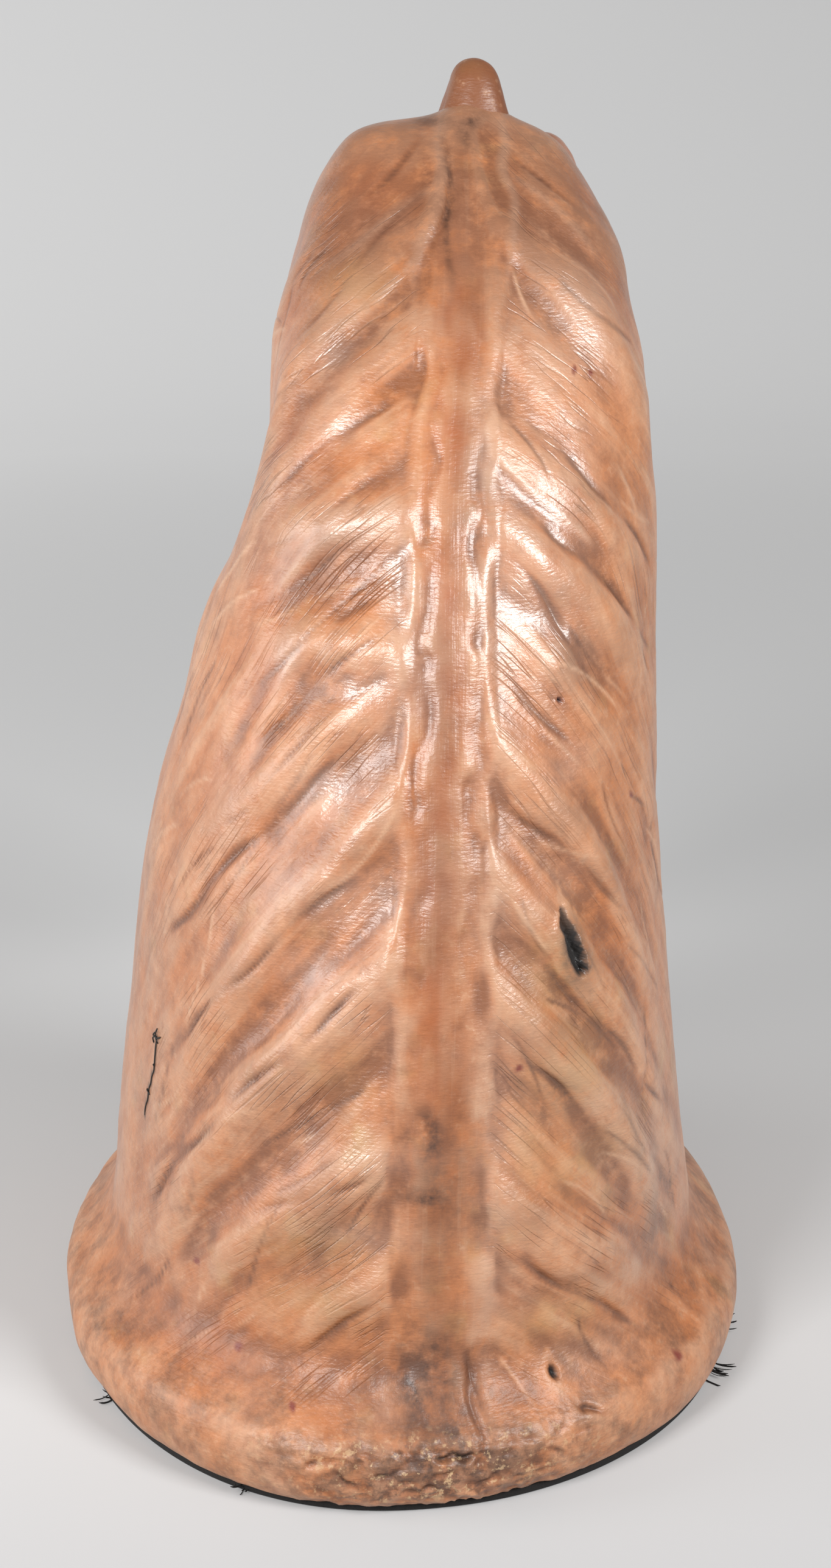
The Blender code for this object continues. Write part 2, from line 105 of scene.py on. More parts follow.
# Sharp creases pressed in beside the folds, by distance round from the crest (the horse's
# left is positive) and height: start, end, depth and half width of the crease.
CREASES = (
    ((32, 523), (98, 478), 1.0, 2.4), ((33, 488), (96, 452), 0.8, 2.2),
    ((30, 468), (104, 424), 1.2, 2.4), ((36, 436), (118, 379), 1.0, 2.4),
    ((30, 423), (99, 364), 1.3, 2.4), ((30, 404), (100, 341), 1.1, 2.2),
    ((44, 368), (182, 243), 1.6, 2.6), ((44, 310), (160, 201), 1.6, 2.6),
    ((36, 262), (192, 106), 1.9, 2.8), ((32, 170), (92, 139), 1.2, 2.6),
    ((26, 104), (92, 55), 1.4, 3.0), ((18, 640), (76, 590), 1.0, 2.4),
    ((16, 618), (90, 545), 0.8, 2.2), ((-20, 632), (-74, 602), 1.0, 2.2),
    ((-35, 512), (-136, 430), 1.2, 2.4), ((-46, 466), (-132, 397), 1.5, 2.4),
    ((-28, 455), (-73, 400), 1.7, 2.2), ((-26, 402), (-78, 350), 1.1, 2.2),
    ((-24, 346), (-110, 275), 1.6, 2.6), ((-32, 280), (-158, 160), 1.5, 2.6),
    ((-35, 228), (-80, 180), 1.6, 2.6), ((-40, 119), (-120, 56), 1.4, 2.8),
    ((-16, 74), (-15, 26), 2.6, 2.6), ((15, 60), (9, 24), 2.0, 2.8),
)

# Slits and tucks in the rim at the back: middle, height, half length, tilt and depth.
RIM_SLITS = (
    (0, 33, 11, 0.05, 2.4), (26, 27, 8, -0.30, 1.6), (44, 22, 7, 0.75, 1.6),
    (58, 30, 6, -0.45, 1.2), (14, 18, 9, -0.10, 1.2), (-14, 20, 7, -0.50, 1.6),
    (-66, 40, 7, 0.55, 2.0), (-46, 26, 6, 0.30, 1.0),
)

# Crest band, with a soft raised edge on each side; it narrows evenly from its foot up.
BAND_FOOT = 74.0
BAND_RISE = 560.0
BAND_HALF_WIDTH_LOW = 27.0
BAND_HALF_WIDTH_TOP = 17.0
BAND_EDGE_HEIGHT = 1.4
BAND_MIDDLE_HEIGHT = 2.2
BAND_EDGE_WIDTH = 8.0
SPINE_HALF_WIDTH = 12.0
SPINE_HEIGHT = 1.6

# Raised seams down each side of the band (distance round from the crest, height), meeting
# at the poll, and pale tendon lines that leave them.
LEFT_SEAM = (
    (7, 655), (12, 637), (11, 625), (13, 608), (20, 593), (24, 577), (26, 500), (28, 440),
    (28, 300), (26, 60),
)
RIGHT_SEAM = (
    (-24, 655), (-22, 630), (-25, 610), (-22, 586), (-18, 562), (-19, 500), (-20, 440),
    (-22, 300), (-28, 60),
)
TENDONS = (
    ((14, 614), (86, 574)), ((24, 584), (72, 546)), ((-26, 622), (-86, 574)),
    ((-22, 590), (-70, 540)), ((-20, 500), (-86, 440)), ((28, 480), (100, 430)),
)

# Thin seeded crease lines between the folds.
LINE_COUNT = 90
LINE_SEED = 23

# Features of the face as seen from the side (forward, up), the half lengths of eye and
# nostril along and across the face, and the face's slope.
EYE = (206, 517)
EYE_SIZE = (19.0, 14.0)
NOSTRIL = (337, 297)
NOSTRIL_SIZE = (17.0, 10.0)
MOUTH_CORNER = (297, 272)
MOUTH_FRONT = (350, 244)
CHEEK_DISC = (140, 468)
FACIAL_CREST = (243, 432)
FACE_LEAN = np.radians(62.0)

# Ears and forelock: (side, forward, up).
EAR_ROOT = (41.0, 92.0, 606.0)
LEFT_EAR_TIP = (50.0, 176.0, 630.0)
RIGHT_EAR_TIP = (-67.5, 173.0, 635.0)
EAR_WIDTH = 54.0
EAR_THICKNESS = 22.0
EAR_ROLL = 0.75
FORELOCK_PATH = (
    (-4, 70, 596), (-3, 69, 637), (-5, 81, 667), (-8, 105, 657), (-5, 134, 629), (-1, 168, 606),
    (1, 200, 579), (0, 222, 551),
)
# Half widths and half thicknesses of the forelock at those points, and how the skin swells
# round its root.
FORELOCK_WIDTHS = (26.0, 22.0, 13.0, 15.0, 19.0, 20.0, 15.0, 5.0)
FORELOCK_DEPTHS = (17.0, 15.5, 13.0, 14.5, 13.0, 10.0, 8.0, 4.0)
LOCK_FLARE_RISE = 9.0
LOCK_FLARE_REACH = 19.0

# Turn of the head: how far it goes to the side for each millimetre forward, and where from.
HEAD_TURN = 0.05
POLL_SIDE = -44.0
POLL_FORWARD = 70.0

# Damage on the neck, by distance round from the crest and height: the gash's ends and half
# width, the holes' middles and half sizes, and the line of the sewn tear.
GASH = ((-60, 287), (-73, 257), 4.4)
SMALL_HOLES = (((-56, 57), 2.0, 3.2), ((-58, 385), 1.3, 1.2))
TEAR = ((181, 199), (185, 182), (193, 167), (200, 151))

# Dark stains: place, reach and strength. The thin one at (8, 608) is painted shade in the
# split beside the poll.
STAINS = (
    ((0, 165), (15, 36), 0.60), ((7, 187), (8, 15), 1.00), ((7, 157), (10, 9), 1.00),
    ((5, 120), (8, 12), 0.25), ((5, 66), (17, 26), 0.90), ((13, 56), (5, 20), 1.00),
    ((-3, 42), (13, 12), 0.90), ((3, 300), (5, 30), 0.35), ((2, 395), (6, 34), 0.30),
    ((-12, 470), (7, 26), 0.35), ((-8, 650), (5, 5), 0.95), ((-2, 642), (3, 5), 0.80),
    ((8, 608), (2, 26), 0.95), ((16, 650), (9, 4), 0.80), ((62, 545), (24, 10), 0.30),
    ((-66, 470), (16, 10), 0.30), ((-62, 408), (14, 12), 0.45), ((-70, 258), (11, 16), 0.60),
    ((-60, 200), (18, 16), 0.35), ((-150, 100), (20, 22), 0.50), ((4, 31), (40, 9), 1.00),
    ((-20, 26), (12, 9), 0.75), ((36, 24), (22, 7), 0.55), ((-80, 62), (5, 5), 0.45),
    ((-95, 46), (22, 10), 0.25),
)

# Darker brown patches between the folds, with the same numbers; they join the hollows' mark.
BROWN_PATCHES = (
    ((-58, 228), (24, 11), 0.6), ((-50, 143), (26, 10), 0.6), ((-62, 98), (40, 9), 0.7),
    ((-34, 66), (20, 12), 0.5), ((62, 112), (30, 18), 0.5), ((60, 152), (22, 10), 0.4),
    ((48, 52), (30, 10), 0.5), ((92, 208), (40, 14), 0.4), ((108, 250), (34, 16), 0.4),
    ((66, 320), (30, 12), 0.5), ((-64, 330), (26, 10), 0.5), ((-92, 300), (30, 14), 0.4),
    ((62, 395), (26, 8), 0.5), ((66, 455), (26, 10), 0.6), ((-56, 430), (18, 9), 0.6),
    ((-84, 400), (24, 12), 0.4), ((0, 560), (15, 40), 0.4), ((54, 590), (30, 12), 0.4),
    ((-60, 590), (26, 14), 0.4), ((6, 345), (12, 60), 0.3),
)

# Patches where the hide is straw coloured, bright orange, or rubbed pale and greyish:
# place, reach and strength.
STRAW_PATCHES = (
    ((-58, 262), (18, 22), 0.7), ((-72, 212), (22, 26), 0.7), ((-45, 180), (12, 30), 0.5),
    ((-82, 160), (26, 16), 0.6), ((-66, 82), (26, 14), 0.6), ((62, 128), (26, 12), 0.6),
    ((70, 96), (30, 12), 0.4), ((48, 215), (14, 18), 0.4), ((54, 574), (20, 12), 0.7),
    ((40, 182), (8, 8), 0.9), ((52, 100), (12, 9), 0.8),
)
ORANGE_PATCHES = (
    ((6, 572), (9, 22), 1.0), ((0, 548), (8, 16), 0.8), ((52, 618), (26, 14), 0.8),
    ((-78, 612), (10, 18), 0.7), ((3, 503), (7, 18), 0.9), ((1, 440), (6, 24), 1.0),
    ((0, 398), (7, 18), 0.9), ((2, 345), (7, 20), 0.8), ((4, 298), (7, 22), 0.8),
    ((4, 250), (7, 24), 0.7), ((5, 205), (8, 20), 0.6), ((74, 600), (14, 22), 0.6),
    ((100, 556), (14, 30), 0.6), ((84, 502), (20, 14), 0.5), ((100, 400), (18, 40), 0.5),
    ((120, 330), (22, 40), 0.4), ((-90, 560), (14, 24), 0.4), ((130, 60), (40, 12), 0.5),
)
PALE_PATCHES = (
    ((-40, 560), (24, 34), 0.7), ((0, 600), (12, 24), 0.4), ((-16, 500), (9, 40), 0.8),
    ((-24, 420), (8, 60), 0.6), ((24, 430), (6, 60), 0.6), ((-22, 300), (8, 60), 0.6),
    ((26, 290), (6, 60), 0.5), ((-24, 180), (8, 60), 0.6), ((-23, 120), (8, 70), 0.8),
    ((30, 150), (8, 50), 0.4), ((-46, 540), (30, 12), 0.5), ((44, 560), (34, 9), 0.5),
    ((-100, 110), (26, 8), 0.4), ((-140, 140), (34, 22), 0.7), ((-112, 92), (26, 9), 0.6),
    ((-90, 190), (30, 8), 0.5), ((-96, 60), (24, 9), 0.5),
)
# Patches where the wax is thick and polished; the shader also lays a painted sheen over them.
GLOSS_PATCHES = (
    ((-40, 445), (30, 66), 1.0), ((-34, 190), (14, 60), 0.5), ((60, 262), (34, 9), 0.7),
    ((40, 176), (30, 7), 0.7), ((-60, 500), (20, 24), 0.9), ((-62, 545), (16, 26), 0.8),
    ((36, 398), (24, 18), 1.0), ((56, 345), (24, 14), 1.0), ((60, 470), (30, 14), 0.8),
    ((22, 440), (9, 44), 0.8), ((70, 540), (14, 12), 1.0), ((66, 512), (18, 12), 1.0),
    ((80, 405), (12, 14), 0.8), ((-60, 355), (26, 10), 0.8), ((-50, 296), (20, 14), 0.7),
    ((44, 300), (26, 14), 0.7), ((50, 245), (22, 12), 0.6), ((44, 135), (24, 7), 0.6),
    ((9, 470), (5, 60), 0.5),
)
# Small dark red spots: place and radius.
RED_SPOTS = (
    ((-59, 533), 2.2), ((-70, 528), 1.6), ((139, 97), 2.6), ((103, 66), 2.8), ((-37, 215), 2.2),
    ((-58, 386), 2.6), ((-120, 330), 1.8), ((70, 47), 1.8), ((-130, 40), 2.4),
)

# Frayed ends of the felt: angle round the foot from the back, how many, and their reach.
FRAYS = ((1.08, 6, 0.0020), (-1.02, 9, 0.0030), (-1.24, 6, 0.0020), (0.55, 6, 0.0))

# Marks of the surface that the leather's shader reads.
MARKS = (
    "ridge", "hollow", "stain", "crown", "straw", "orange", "pale", "gloss", "scored",
    "worn_lines", "shred", "red_spot", "opening", "eye", "rim", "band", "middle", "stretched",
)

# Stations at which the skin is parted into pieces, up from the rim and from the poll.
CUT_ABOVE_RIM = 190.0
CUTS_BY_POLL = (-30.0, 210.0)

# Rows and columns of each ear's surface and of the forelock's.
EAR_GRID = (90, 96)
FORELOCK_GRID = (150, 110)

# Radius of the thread in the tear's seam, in a stitch and in the loose ends.
SEAM_THREAD = 0.45
STITCH_THREAD = 0.38
LOOSE_THREAD = 0.40

# Studio, in metres: paper beside the bust, greyed by painted shade; the round floor's
# sides, level middle, edge and rise; the softboxes' places and sizes; what they face.
PAPER_PAINTED_SHADE = "7e7e81"
FLOOR_SIDES = 96
FLOOR_LEVEL = 3.0
FLOOR_EDGE = 6.0
FLOOR_RISE = 3.5
SOFTBOXES = {
    "left": ((1.20, 1.50, 1.42), (0.70, 0.80)),
    "right": ((-1.30, 1.40, 1.44), (0.80, 0.85)),
    "side": ((1.95, 0.10, 0.75), (0.90, 1.20)),
}
LIGHTS_AIM = (0.0, 0.0, 0.35)


def smooth(value):
    """Smooth step from 0 to 1, flat at both ends."""
    t = np.clip(value, 0.0, 1.0)
    return t * t * (3.0 - 2.0 * t)


def hump(distance, width):
    """Rounded hump, 1 at the middle and near 0 at twice the width."""
    return np.exp(-(distance / width) ** 2)


def unit(vectors):
    """Vectors of the last axis made one long."""
    return vectors / np.maximum(np.linalg.norm(vectors, axis=-1, keepdims=True), 1e-9)


def spline(knots, values, t):
    """Smooth curve through the rows of values, read at the places t."""
    slopes = np.gradient(values, knots, axis=0)
    i = np.clip(np.searchsorted(knots, t, side="right") - 1, 0, len(knots) - 2)
    span = (knots[i + 1] - knots[i])[:, None]
    s = ((t - knots[i]) / span[:, 0])[:, None]
    start, end = values[i], values[i + 1]
    leave, arrive = slopes[i] * span, slopes[i + 1] * span
    bend = 3.0 * (end - start) - 2.0 * leave - arrive
    twist = 2.0 * (start - end) + leave + arrive
    return start + leave * s + bend * s**2 + twist * s**3


def field_noise(coordinates, seed):
    """Smooth random values between -1 and 1 over one, two or three coordinates.

    A lattice of seeded random numbers is blended between its points with smooth steps.
    """
    table = np.random.default_rng(seed).uniform(-1.0, 1.0, (LATTICE,) * len(coordinates))
    cells = [np.floor(c).astype(int) for c in coordinates]
    parts = [smooth(c - cell) for c, cell in zip(coordinates, cells)]
    total = 0.0
    for corner in np.ndindex(*(2,) * len(coordinates)):
        weight = 1.0
        index = []
        for step, cell, part in zip(corner, cells, parts):
            weight = weight * (part if step else 1.0 - part)
            index.append((cell + step) % LATTICE)
        total = total + weight * table[tuple(index)]
    return total


def waver(along, seed, lane=0.0):
    """Smooth random values along one coordinate, with other values in each lane."""
    return field_noise([along, lane + 0.0 * along], seed)


def lumpy(points, size, seed, octaves):
    """Random values over space: noises that halve in strength as they double in fineness."""
    total, scale, strength = 0.0, 1.0, 1.0
    for octave in range(octaves):
        place = [points[:, :, k] / size * scale for k in range(3)]
        total = total + strength * field_noise(place, seed + octave)
        scale, strength = scale * 2.03, strength * 0.5
    return total / 1.6


def facing_out(points):
    """Outward unit normals of a grid that closes round its second direction."""
    along = np.gradient(points, axis=0)
    turning = (np.roll(points, -1, axis=1) - np.roll(points, 1, axis=1)) / 2.0
    return unit(np.cross(turning, along))


def swollen(points, relief):
    """Points of a grid moved out along their normals by the relief."""
    return points + facing_out(points) * relief[:, :, None]


def section_table():
    """The distance along the form at each section, and the sections as an array of rows."""
    table = np.array([
        (*back, *front, half, *shifts, *squareness)
        for _, back, front, half, shifts, squareness in SECTIONS
    ], dtype=float)
    back_steps = np.hypot(*np.diff(table[:, 0:2], axis=0).T)
    front_steps = np.hypot(*np.diff(table[:, 2:4], axis=0).T)
    knots = np.concatenate([[0.0], np.cumsum((back_steps + front_steps) / 2.0)])
    return knots, table


def turn_angles(count):
    """Angles round a section from the crest, closer together near the crest."""
    angle = np.linspace(-np.pi, np.pi, count, endpoint=False)
    return angle - CREST_CROWDING * np.sin(angle)


def base_outline(angle, width, depth, inset):
    """Outline of the foot at each angle from the back: a slightly uneven oval."""
    uneven = 1.0 + 0.029 * np.sin(2.0 * angle) + 0.004 * np.sin(5.0 * angle)
    outline = []
    for wave, reach in ((np.sin(angle), width), (-np.cos(angle), depth)):
        line = uneven * np.sign(wave) * np.abs(wave) ** BASE_SQUARENESS
        line = line / np.max(np.abs(line)) * reach / 2.0
        outline.append(line * (1.0 - 4.0 * inset / (width + depth)))
    return outline


def face_frame(forward, up, centre):
    """Distances from a feature's centre, along the face and across it, seen from the side."""
    df, du = forward - centre[0], up - centre[1]
    along = df * np.cos(FACE_LEAN) - du * np.sin(FACE_LEAN)
    across = df * np.sin(FACE_LEAN) + du * np.cos(FACE_LEAN)
    return along, across


def feature_ring(forward, up, centre, size):
    """Distances along and across the face from a feature, and their oval sum over its size."""
    along, across = face_frame(forward, up, centre)
    return along, across, np.hypot(along / size[0], across / size[1])


def run_frame(distance, up, start, end):
    """Distance along a straight run on the unrolled skin, distance off it, and its length."""
    run = np.subtract(end, start).astype(float)
    length = np.hypot(*run)
    da, du = distance - start[0], up - start[1]
    travel = (da * run[0] + du * run[1]) / length
    return travel, (du * run[0] - da * run[1]) / length, length


def mouth_frame(forward, up):
    """Distance along the mouth from its corner, distance above it, and its length."""
    travel, off, length = run_frame(forward, up, MOUTH_CORNER, MOUTH_FRONT)
    off = off + 3.0 * np.sin(np.clip(travel / length, 0.0, 1.0) * np.pi)
    return travel, off, length


def face_relief(forward, up):
    """Height of the carved face over the plain form, for each place seen from the side."""
    along, across, ring = feature_ring(forward, up, EYE, EYE_SIZE)
    relief = -7.0 * hump(ring, 1.5)
    relief += 8.0 * smooth(1.25 - ring)
    relief += 6.0 * hump(np.hypot((along + 2.0) / 2.2, across - 19.0), 8.0)
    relief += 3.0 * hump(np.hypot((along - 4.0) / 2.4, across + 20.0), 7.0)
    relief -= 4.0 * hump(np.hypot(along + 38.0, across - 6.0), 15.0)

    along, across = face_frame(forward, up, FACIAL_CREST)
    relief += 6.0 * hump(across, 8.0) * smooth(1.4 - np.abs(along) / 42.0)
    relief -= 3.5 * hump(across - 26.0, 13.0) * smooth(1.4 - np.abs(along) / 60.0)

    disc = np.hypot(forward - CHEEK_DISC[0], (up - CHEEK_DISC[1]) * 0.95)
    relief += 4.5 * smooth((74.0 - disc) / 26.0)
    relief -= 4.0 * hump(disc - 76.0, 9.0) * smooth((forward - 120.0) / 40.0)

    ring = feature_ring(forward, up, NOSTRIL, NOSTRIL_SIZE)[2]
    relief += 4.0 * hump(ring, 2.2) + 4.0 * hump(ring - 1.3, 0.45)
    relief -= 13.0 * smooth((1.2 - ring) / 0.7)

    travel, off, length = mouth_frame(forward, up)
    on_lips = smooth((travel + 12.0) / 12.0) * smooth((length + 18.0 - travel) / 10.0)
    for middle, width, rise in ((0.0, 4.5, -4.5), (12.0, 6.0, 2.5), (-12.0, 6.0, 2.0)):
        relief += rise * hump(off - middle, width) * on_lips
    return relief


def face_detail(forward, up):
    """Finer carving of the face: lids, wrinkles round the eye, nostril and mouth."""
    along, across, ring = feature_ring(forward, up, EYE, EYE_SIZE)
    detail = 1.6 * hump(ring - 0.98, 0.13) - 1.4 * hump(ring - 0.78, 0.10)
    lid = across - 15.0 + along**2 / 60.0
    under = across + 17.0 - along**2 / 70.0
    for off, depth, width, reach in (
        (lid - 5.0, 1.2, 1.8, 26.0), (lid - 11.0, 0.8, 1.6, 24.0),
        (under, 0.8, 1.8, 24.0), (under + 6.0, 0.6, 1.8, 20.0),
    ):
        detail -= depth * hump(off, width) * smooth((reach - np.abs(along)) / 10.0)
    along, across = face_frame(forward, up, NOSTRIL)
    behind = smooth((6.0 - along) / 14.0) * smooth((30.0 - np.abs(across)) / 12.0)
    for step in (17.0, 23.0, 30.0):
        curl = np.hypot(along + 4.0, across * 1.2) - step - 9.0
        detail -= 0.6 * hump(curl, 1.6) * behind
    travel, off, _ = mouth_frame(forward, up)
    behind = smooth(-travel / 6.0 + 0.4) * smooth((18.0 - np.abs(off)) / 8.0)
    for step in (0.0, 5.5, 11.0):
        curl = np.hypot(travel + 4.0, off) - 8.0 - step
        detail -= 0.9 * hump(curl, 1.5) * behind
    return detail


def band_relief(distance, half_band):
    """Crest band with its raised edges, by distance round from the crest line."""
    away = np.abs(distance)
    relief = BAND_EDGE_HEIGHT * hump(away - half_band, BAND_EDGE_WIDTH)
    return relief + BAND_MIDDLE_HEIGHT * smooth((half_band - away) / BAND_EDGE_WIDTH + 0.5)


def fold_relief(distance, up, half_band):
    """Folds that leave the crest band and fall outwards, deepest near the band."""
    out = np.abs(distance) - half_band
    relief = np.zeros_like(out)
    for folds, sign in ((LEFT_FOLDS, 1.0), (RIGHT_FOLDS, -1.0)):
        here = np.where(np.sign(distance) == sign, 1.0, 0.0)
        for height, fall, length, rise, width in folds:
            centre = height - fall * out - 0.0016 * out**2
            across = (up - centre) / np.sqrt(1.0 + fall**2)
            fade = here * rise * smooth(out / 10.0 + 0.6) * smooth((length - out) / 55.0)
            relief += fade * (hump(across, width) - 0.35 * hump(across + 1.9 * width, width))
    return relief


def lump_relief(distance, up):
    """Other lumps and hollows, each a tilted rounded hump on the unrolled side of the neck."""
    relief = np.zeros_like(distance)
    for middle, height, half_length, half_width, tilt, rise in LUMPS:
        cos, sin = np.cos(np.radians(tilt)), np.sin(np.radians(tilt))
        out = (distance - middle) * np.sign(middle)
        along = out * cos + (up - height) * sin
        across = (up - height) * cos - out * sin
        relief += rise * hump(np.hypot(along / half_length, across / half_width), 1.0)
    return relief


def crease_frames(distance, up):
    """Distance off each crease, how deep it is pressed in at each place, and its width."""
    for start, end, depth, width in CREASES:
        travel, across, length = run_frame(distance, up, start, end)
        across = across * np.sign(end[0] - start[0])
        across = across + 1.6 * np.sin(travel / 13.0 + start[1])
        fade = smooth((travel + 4.0) / 16.0) * smooth((length + 14.0 - travel) / 40.0)
        fade = fade * (0.65 + 0.5 * np.sin(travel / 9.0 + end[1]))
        yield across, depth * fade, width


def crease_relief(distance, up):
    """Sharp creases along straight runs in the unrolled skin, with a soft lip above each."""
    relief = np.zeros_like(distance)
    for across, depth, width in crease_frames(distance, up):
        relief -= depth * (0.75 * hump(across, width) + 0.35 * hump(across, 0.4 * width))
        relief += 0.35 * depth * hump(across - 2.6 * width, 2.4 * width)
    return relief


def crease_marks(distance, up):
    """Painted shade along the bottoms of the creases."""
    dirt = np.zeros_like(distance)
    for across, depth, width in crease_frames(distance, up):
        dirt = np.maximum(dirt, depth * hump(across, 0.45 * width))
    return np.clip(0.75 * dirt, 0.0, 1.0)


def flow_height(distance, up, half_band):
    """Height at which the fold through each place would leave the band.

    It is the height plus the distance out from the band times the local fall of the folds,
    so it stays the same along a fold; the folds also droop a little further out.
    """
    out = np.maximum(np.abs(distance) - half_band, 0.0)
    fall = 0.62 + 0.36 * smooth((480.0 - up) / 100.0) - 0.26 * smooth((170.0 - up) / 110.0)
    fall = fall + 0.34 * smooth((up - 560.0) / 70.0)
    return up + fall * out + 0.0009 * out**2


def streak_relief(distance, up, half_band):
    """Soft tension creases of the stretched skin, running with the folds on each side."""
    away = np.abs(distance)
    out = np.maximum(away - half_band, 0.0)
    relief = np.zeros_like(away)
    flow = flow_height(distance, up, half_band)
    for sign, seed in ((1.0, 11), (-1.0, 37)):
        puffs = 1.1 * field_noise([flow / 23.0, out / 30.0], seed + 5)
        puffs = puffs + 0.35 * field_noise([flow / 9.0, out / 20.0], seed + 6)
        here = smooth(sign * distance / 12.0 - 0.5)
        swayed = flow + 12.0 * field_noise([up / 60.0, out / 60.0], seed)
        patch = smooth(0.35 + 1.1 * field_noise([flow / 50.0, out / 50.0], seed + 3))
        broad = 1.0 - np.abs(field_noise([swayed / 17.0, out / 90.0], seed + 1)) * 2.0
        fine = 1.0 - np.abs(field_noise([swayed / 8.5, out / 60.0], seed + 2)) * 2.2
        relief += here * (patch * (0.40 * broad + 0.10 * fine) + 1.1 * puffs)
    return relief * (0.25 + 0.75 * smooth((260.0 - away) / 130.0))


def sunken_edge(distance, up, half_band):
    """How far the band's raised edges have sunk: most in the middle of the neck."""
    by_height = 0.9 * smooth((up - 60.0) / 120.0) * smooth((600.0 - up) / 60.0)
    wander = 0.80 + 0.6 * waver(up / 24.0, 33, np.sign(distance))
    edge = hump(np.abs(distance) - half_band, BAND_EDGE_WIDTH)
    return by_height * BAND_EDGE_HEIGHT * wander * edge


def seam_offset(distance, up, seam):
    """Distance off a seam that is drawn as points of distance and height, lowest last."""
    points = np.array(seam[::-1], dtype=float)
    return distance - np.interp(up, points[:, 1], points[:, 0])


def seam_lines(distance, up):
    """Distance off each of the two wavering seams, and the seam's random seed."""
    for seam, seed in ((LEFT_SEAM, 13), (RIGHT_SEAM, 14)):
        yield seam_offset(distance, up, seam) + 1.6 * waver(up / 13.0, seed), seed


def tendon_lines(distance, up, width):
    """How strongly each place lies on each tendon line, for lines of one width."""
    for start, end in TENDONS:
        travel, across, length = run_frame(distance, up, start, end)
        across = across + 2.2 * np.sin(travel / 17.0 + start[1])
        fade = smooth(travel / 10.0 + 0.5) * smooth((length - travel) / 30.0)
        yield hump(across, width) * fade


def seam_relief(distance, up):
    """Raised seams beside the band, strongest at the crown, and the tendon lines."""
    near_crown = smooth((up - 545.0) / 50.0)
    relief = np.zeros_like(distance)
    for off, seed in seam_lines(distance, up):
        broken = 0.55 + 0.45 * waver(up / 18.0, seed + 20)
        relief += (0.05 * broken + 1.9 * near_crown) * hump(off, 3.4 + 1.4 * near_crown)
        relief -= 0.30 * broken * hump(off + 3.4, 1.3) * smooth((up - 90.0) / 40.0)
    split = seam_offset(distance, up, LEFT_SEAM) + 5.0 + 1.4 * waver(up / 6.0, 15)
    relief -= 1.1 * hump(split, 1.6) * smooth((up - 585.0) / 12.0)
    for line in tendon_lines(distance, up, 2.4):
        relief += 0.7 * line
    return relief


def seam_marks(distance, up):
    """Pale worn lines over the seams and the tendon lines."""
    worn = np.zeros_like(distance)
    for off, _ in seam_lines(distance, up):
        strength = 0.20 + 0.70 * smooth((up - 545.0) / 50.0)
        worn = np.maximum(worn, hump(off, 3.0) * strength)
    for line in tendon_lines(distance, up, 2.2):
        worn = np.maximum(worn, 0.7 * line)
    return worn


def spine_relief(distance, up, half_band):
    """Rounded strip down the middle of the band, with wavering and broken edges."""
    shifted = distance - 1.0 + 3.5 * waver(up / 44.0, 5)
    sides = np.sign(shifted)
    width = SPINE_HALF_WIDTH * half_band / BAND_HALF_WIDTH_LOW
    width = width + 3.0 * waver(up / 19.0, 6, sides + 2.0)
    strength = np.clip(0.85 + 0.7 * waver(up / 30.0, 8), 0.2, 1.4)
    strength = strength * (0.25 + 0.75 * smooth((up - 200.0) / 110.0))
    strength = strength * smooth((600.0 - up) / 50.0)
    share = np.abs(shifted) / width
    dome = smooth((1.35 - share) / 0.7) * (1.0 - 0.25 * np.minimum(share, 1.2) ** 2)
    crumbs = 0.6 * hump(share - 1.0, 0.3) * waver(up / 8.0, 10, sides + 5.0)
    along = 0.18 * field_noise([distance / 4.0, up / 46.0], 9)
    lumps = 0.35 * field_noise([distance / 10.0, up / 15.0], 12)
    inside = smooth((half_band + 10.0 - np.abs(distance)) / 12.0)
    return strength * (SPINE_HEIGHT * dome + crumbs) + (along + lumps) * inside


def line_marks(distance, up):
    """Thin long crease lines: how strongly each place is scored, and how strongly rubbed pale.

    The lines are seeded: each starts at a random place, runs near the fall of the folds and
    bows a little; about half are scored creases darkened with painted shade, and the others
    pale raised wrinkles.
    """
    random = np.random.default_rng(LINE_SEED)
    scored, rubbed = np.zeros_like(distance), np.zeros_like(distance)
    for k in range(LINE_COUNT):
        side = 1.0 if k % 2 else -1.0
        out, height = random.uniform(20.0, 165.0), random.uniform(60.0, 590.0)
        fall = np.radians(random.normal(-36.0 - 10.0 * (height < 400.0), 13.0))
        length = random.uniform(22.0, 74.0)
        start = (side * out, height)
        end = (side * (out + length * np.cos(fall)), height + length * np.sin(fall))
        travel, across, length = run_frame(distance, up, start, end)
        bow = random.uniform(-0.10, 0.10) * length
        across = across - bow * (1.0 - (2.0 * travel / length - 1.0) ** 2)
        line = hump(across, 0.9) * smooth(travel / 8.0) * smooth((length - travel) / 14.0)
        line = line * random.uniform(0.5, 1.0)
        if k % 4 < 2:
            scored = np.maximum(scored, line)
        else:
            rubbed = np.maximum(rubbed, line)
    return scored, rubbed


def gash_frame(distance, up):
    """Distance past the gash's ragged edge (negative inside), and the share along it."""
    start, end, half = GASH
    travel, across, length = run_frame(distance, up, start, end)
    share = travel / length
    across = across + 1.3 * waver(travel / 5.0, 21)
    profile = np.sqrt(np.clip(1.0 - ((share - 0.5) / 0.56) ** 2, 0.0, 1.0))
    profile = profile * (0.70 + 0.45 * np.clip(share, 0.0, 1.0))
    open_here = profile > 0.05
    ragged = 0.7 * waver(travel / 3.0, 22, np.sign(across)) * open_here
    return np.abs(across) - np.where(open_here, half * profile + ragged, -6.0), share


def hole_rings(distance, up):
    """Oval distance from each small hole, 1 at its edge."""
    for (middle, height), wide, tall in SMALL_HOLES:
        yield np.hypot((distance - middle) / wide, (up - height) / tall)


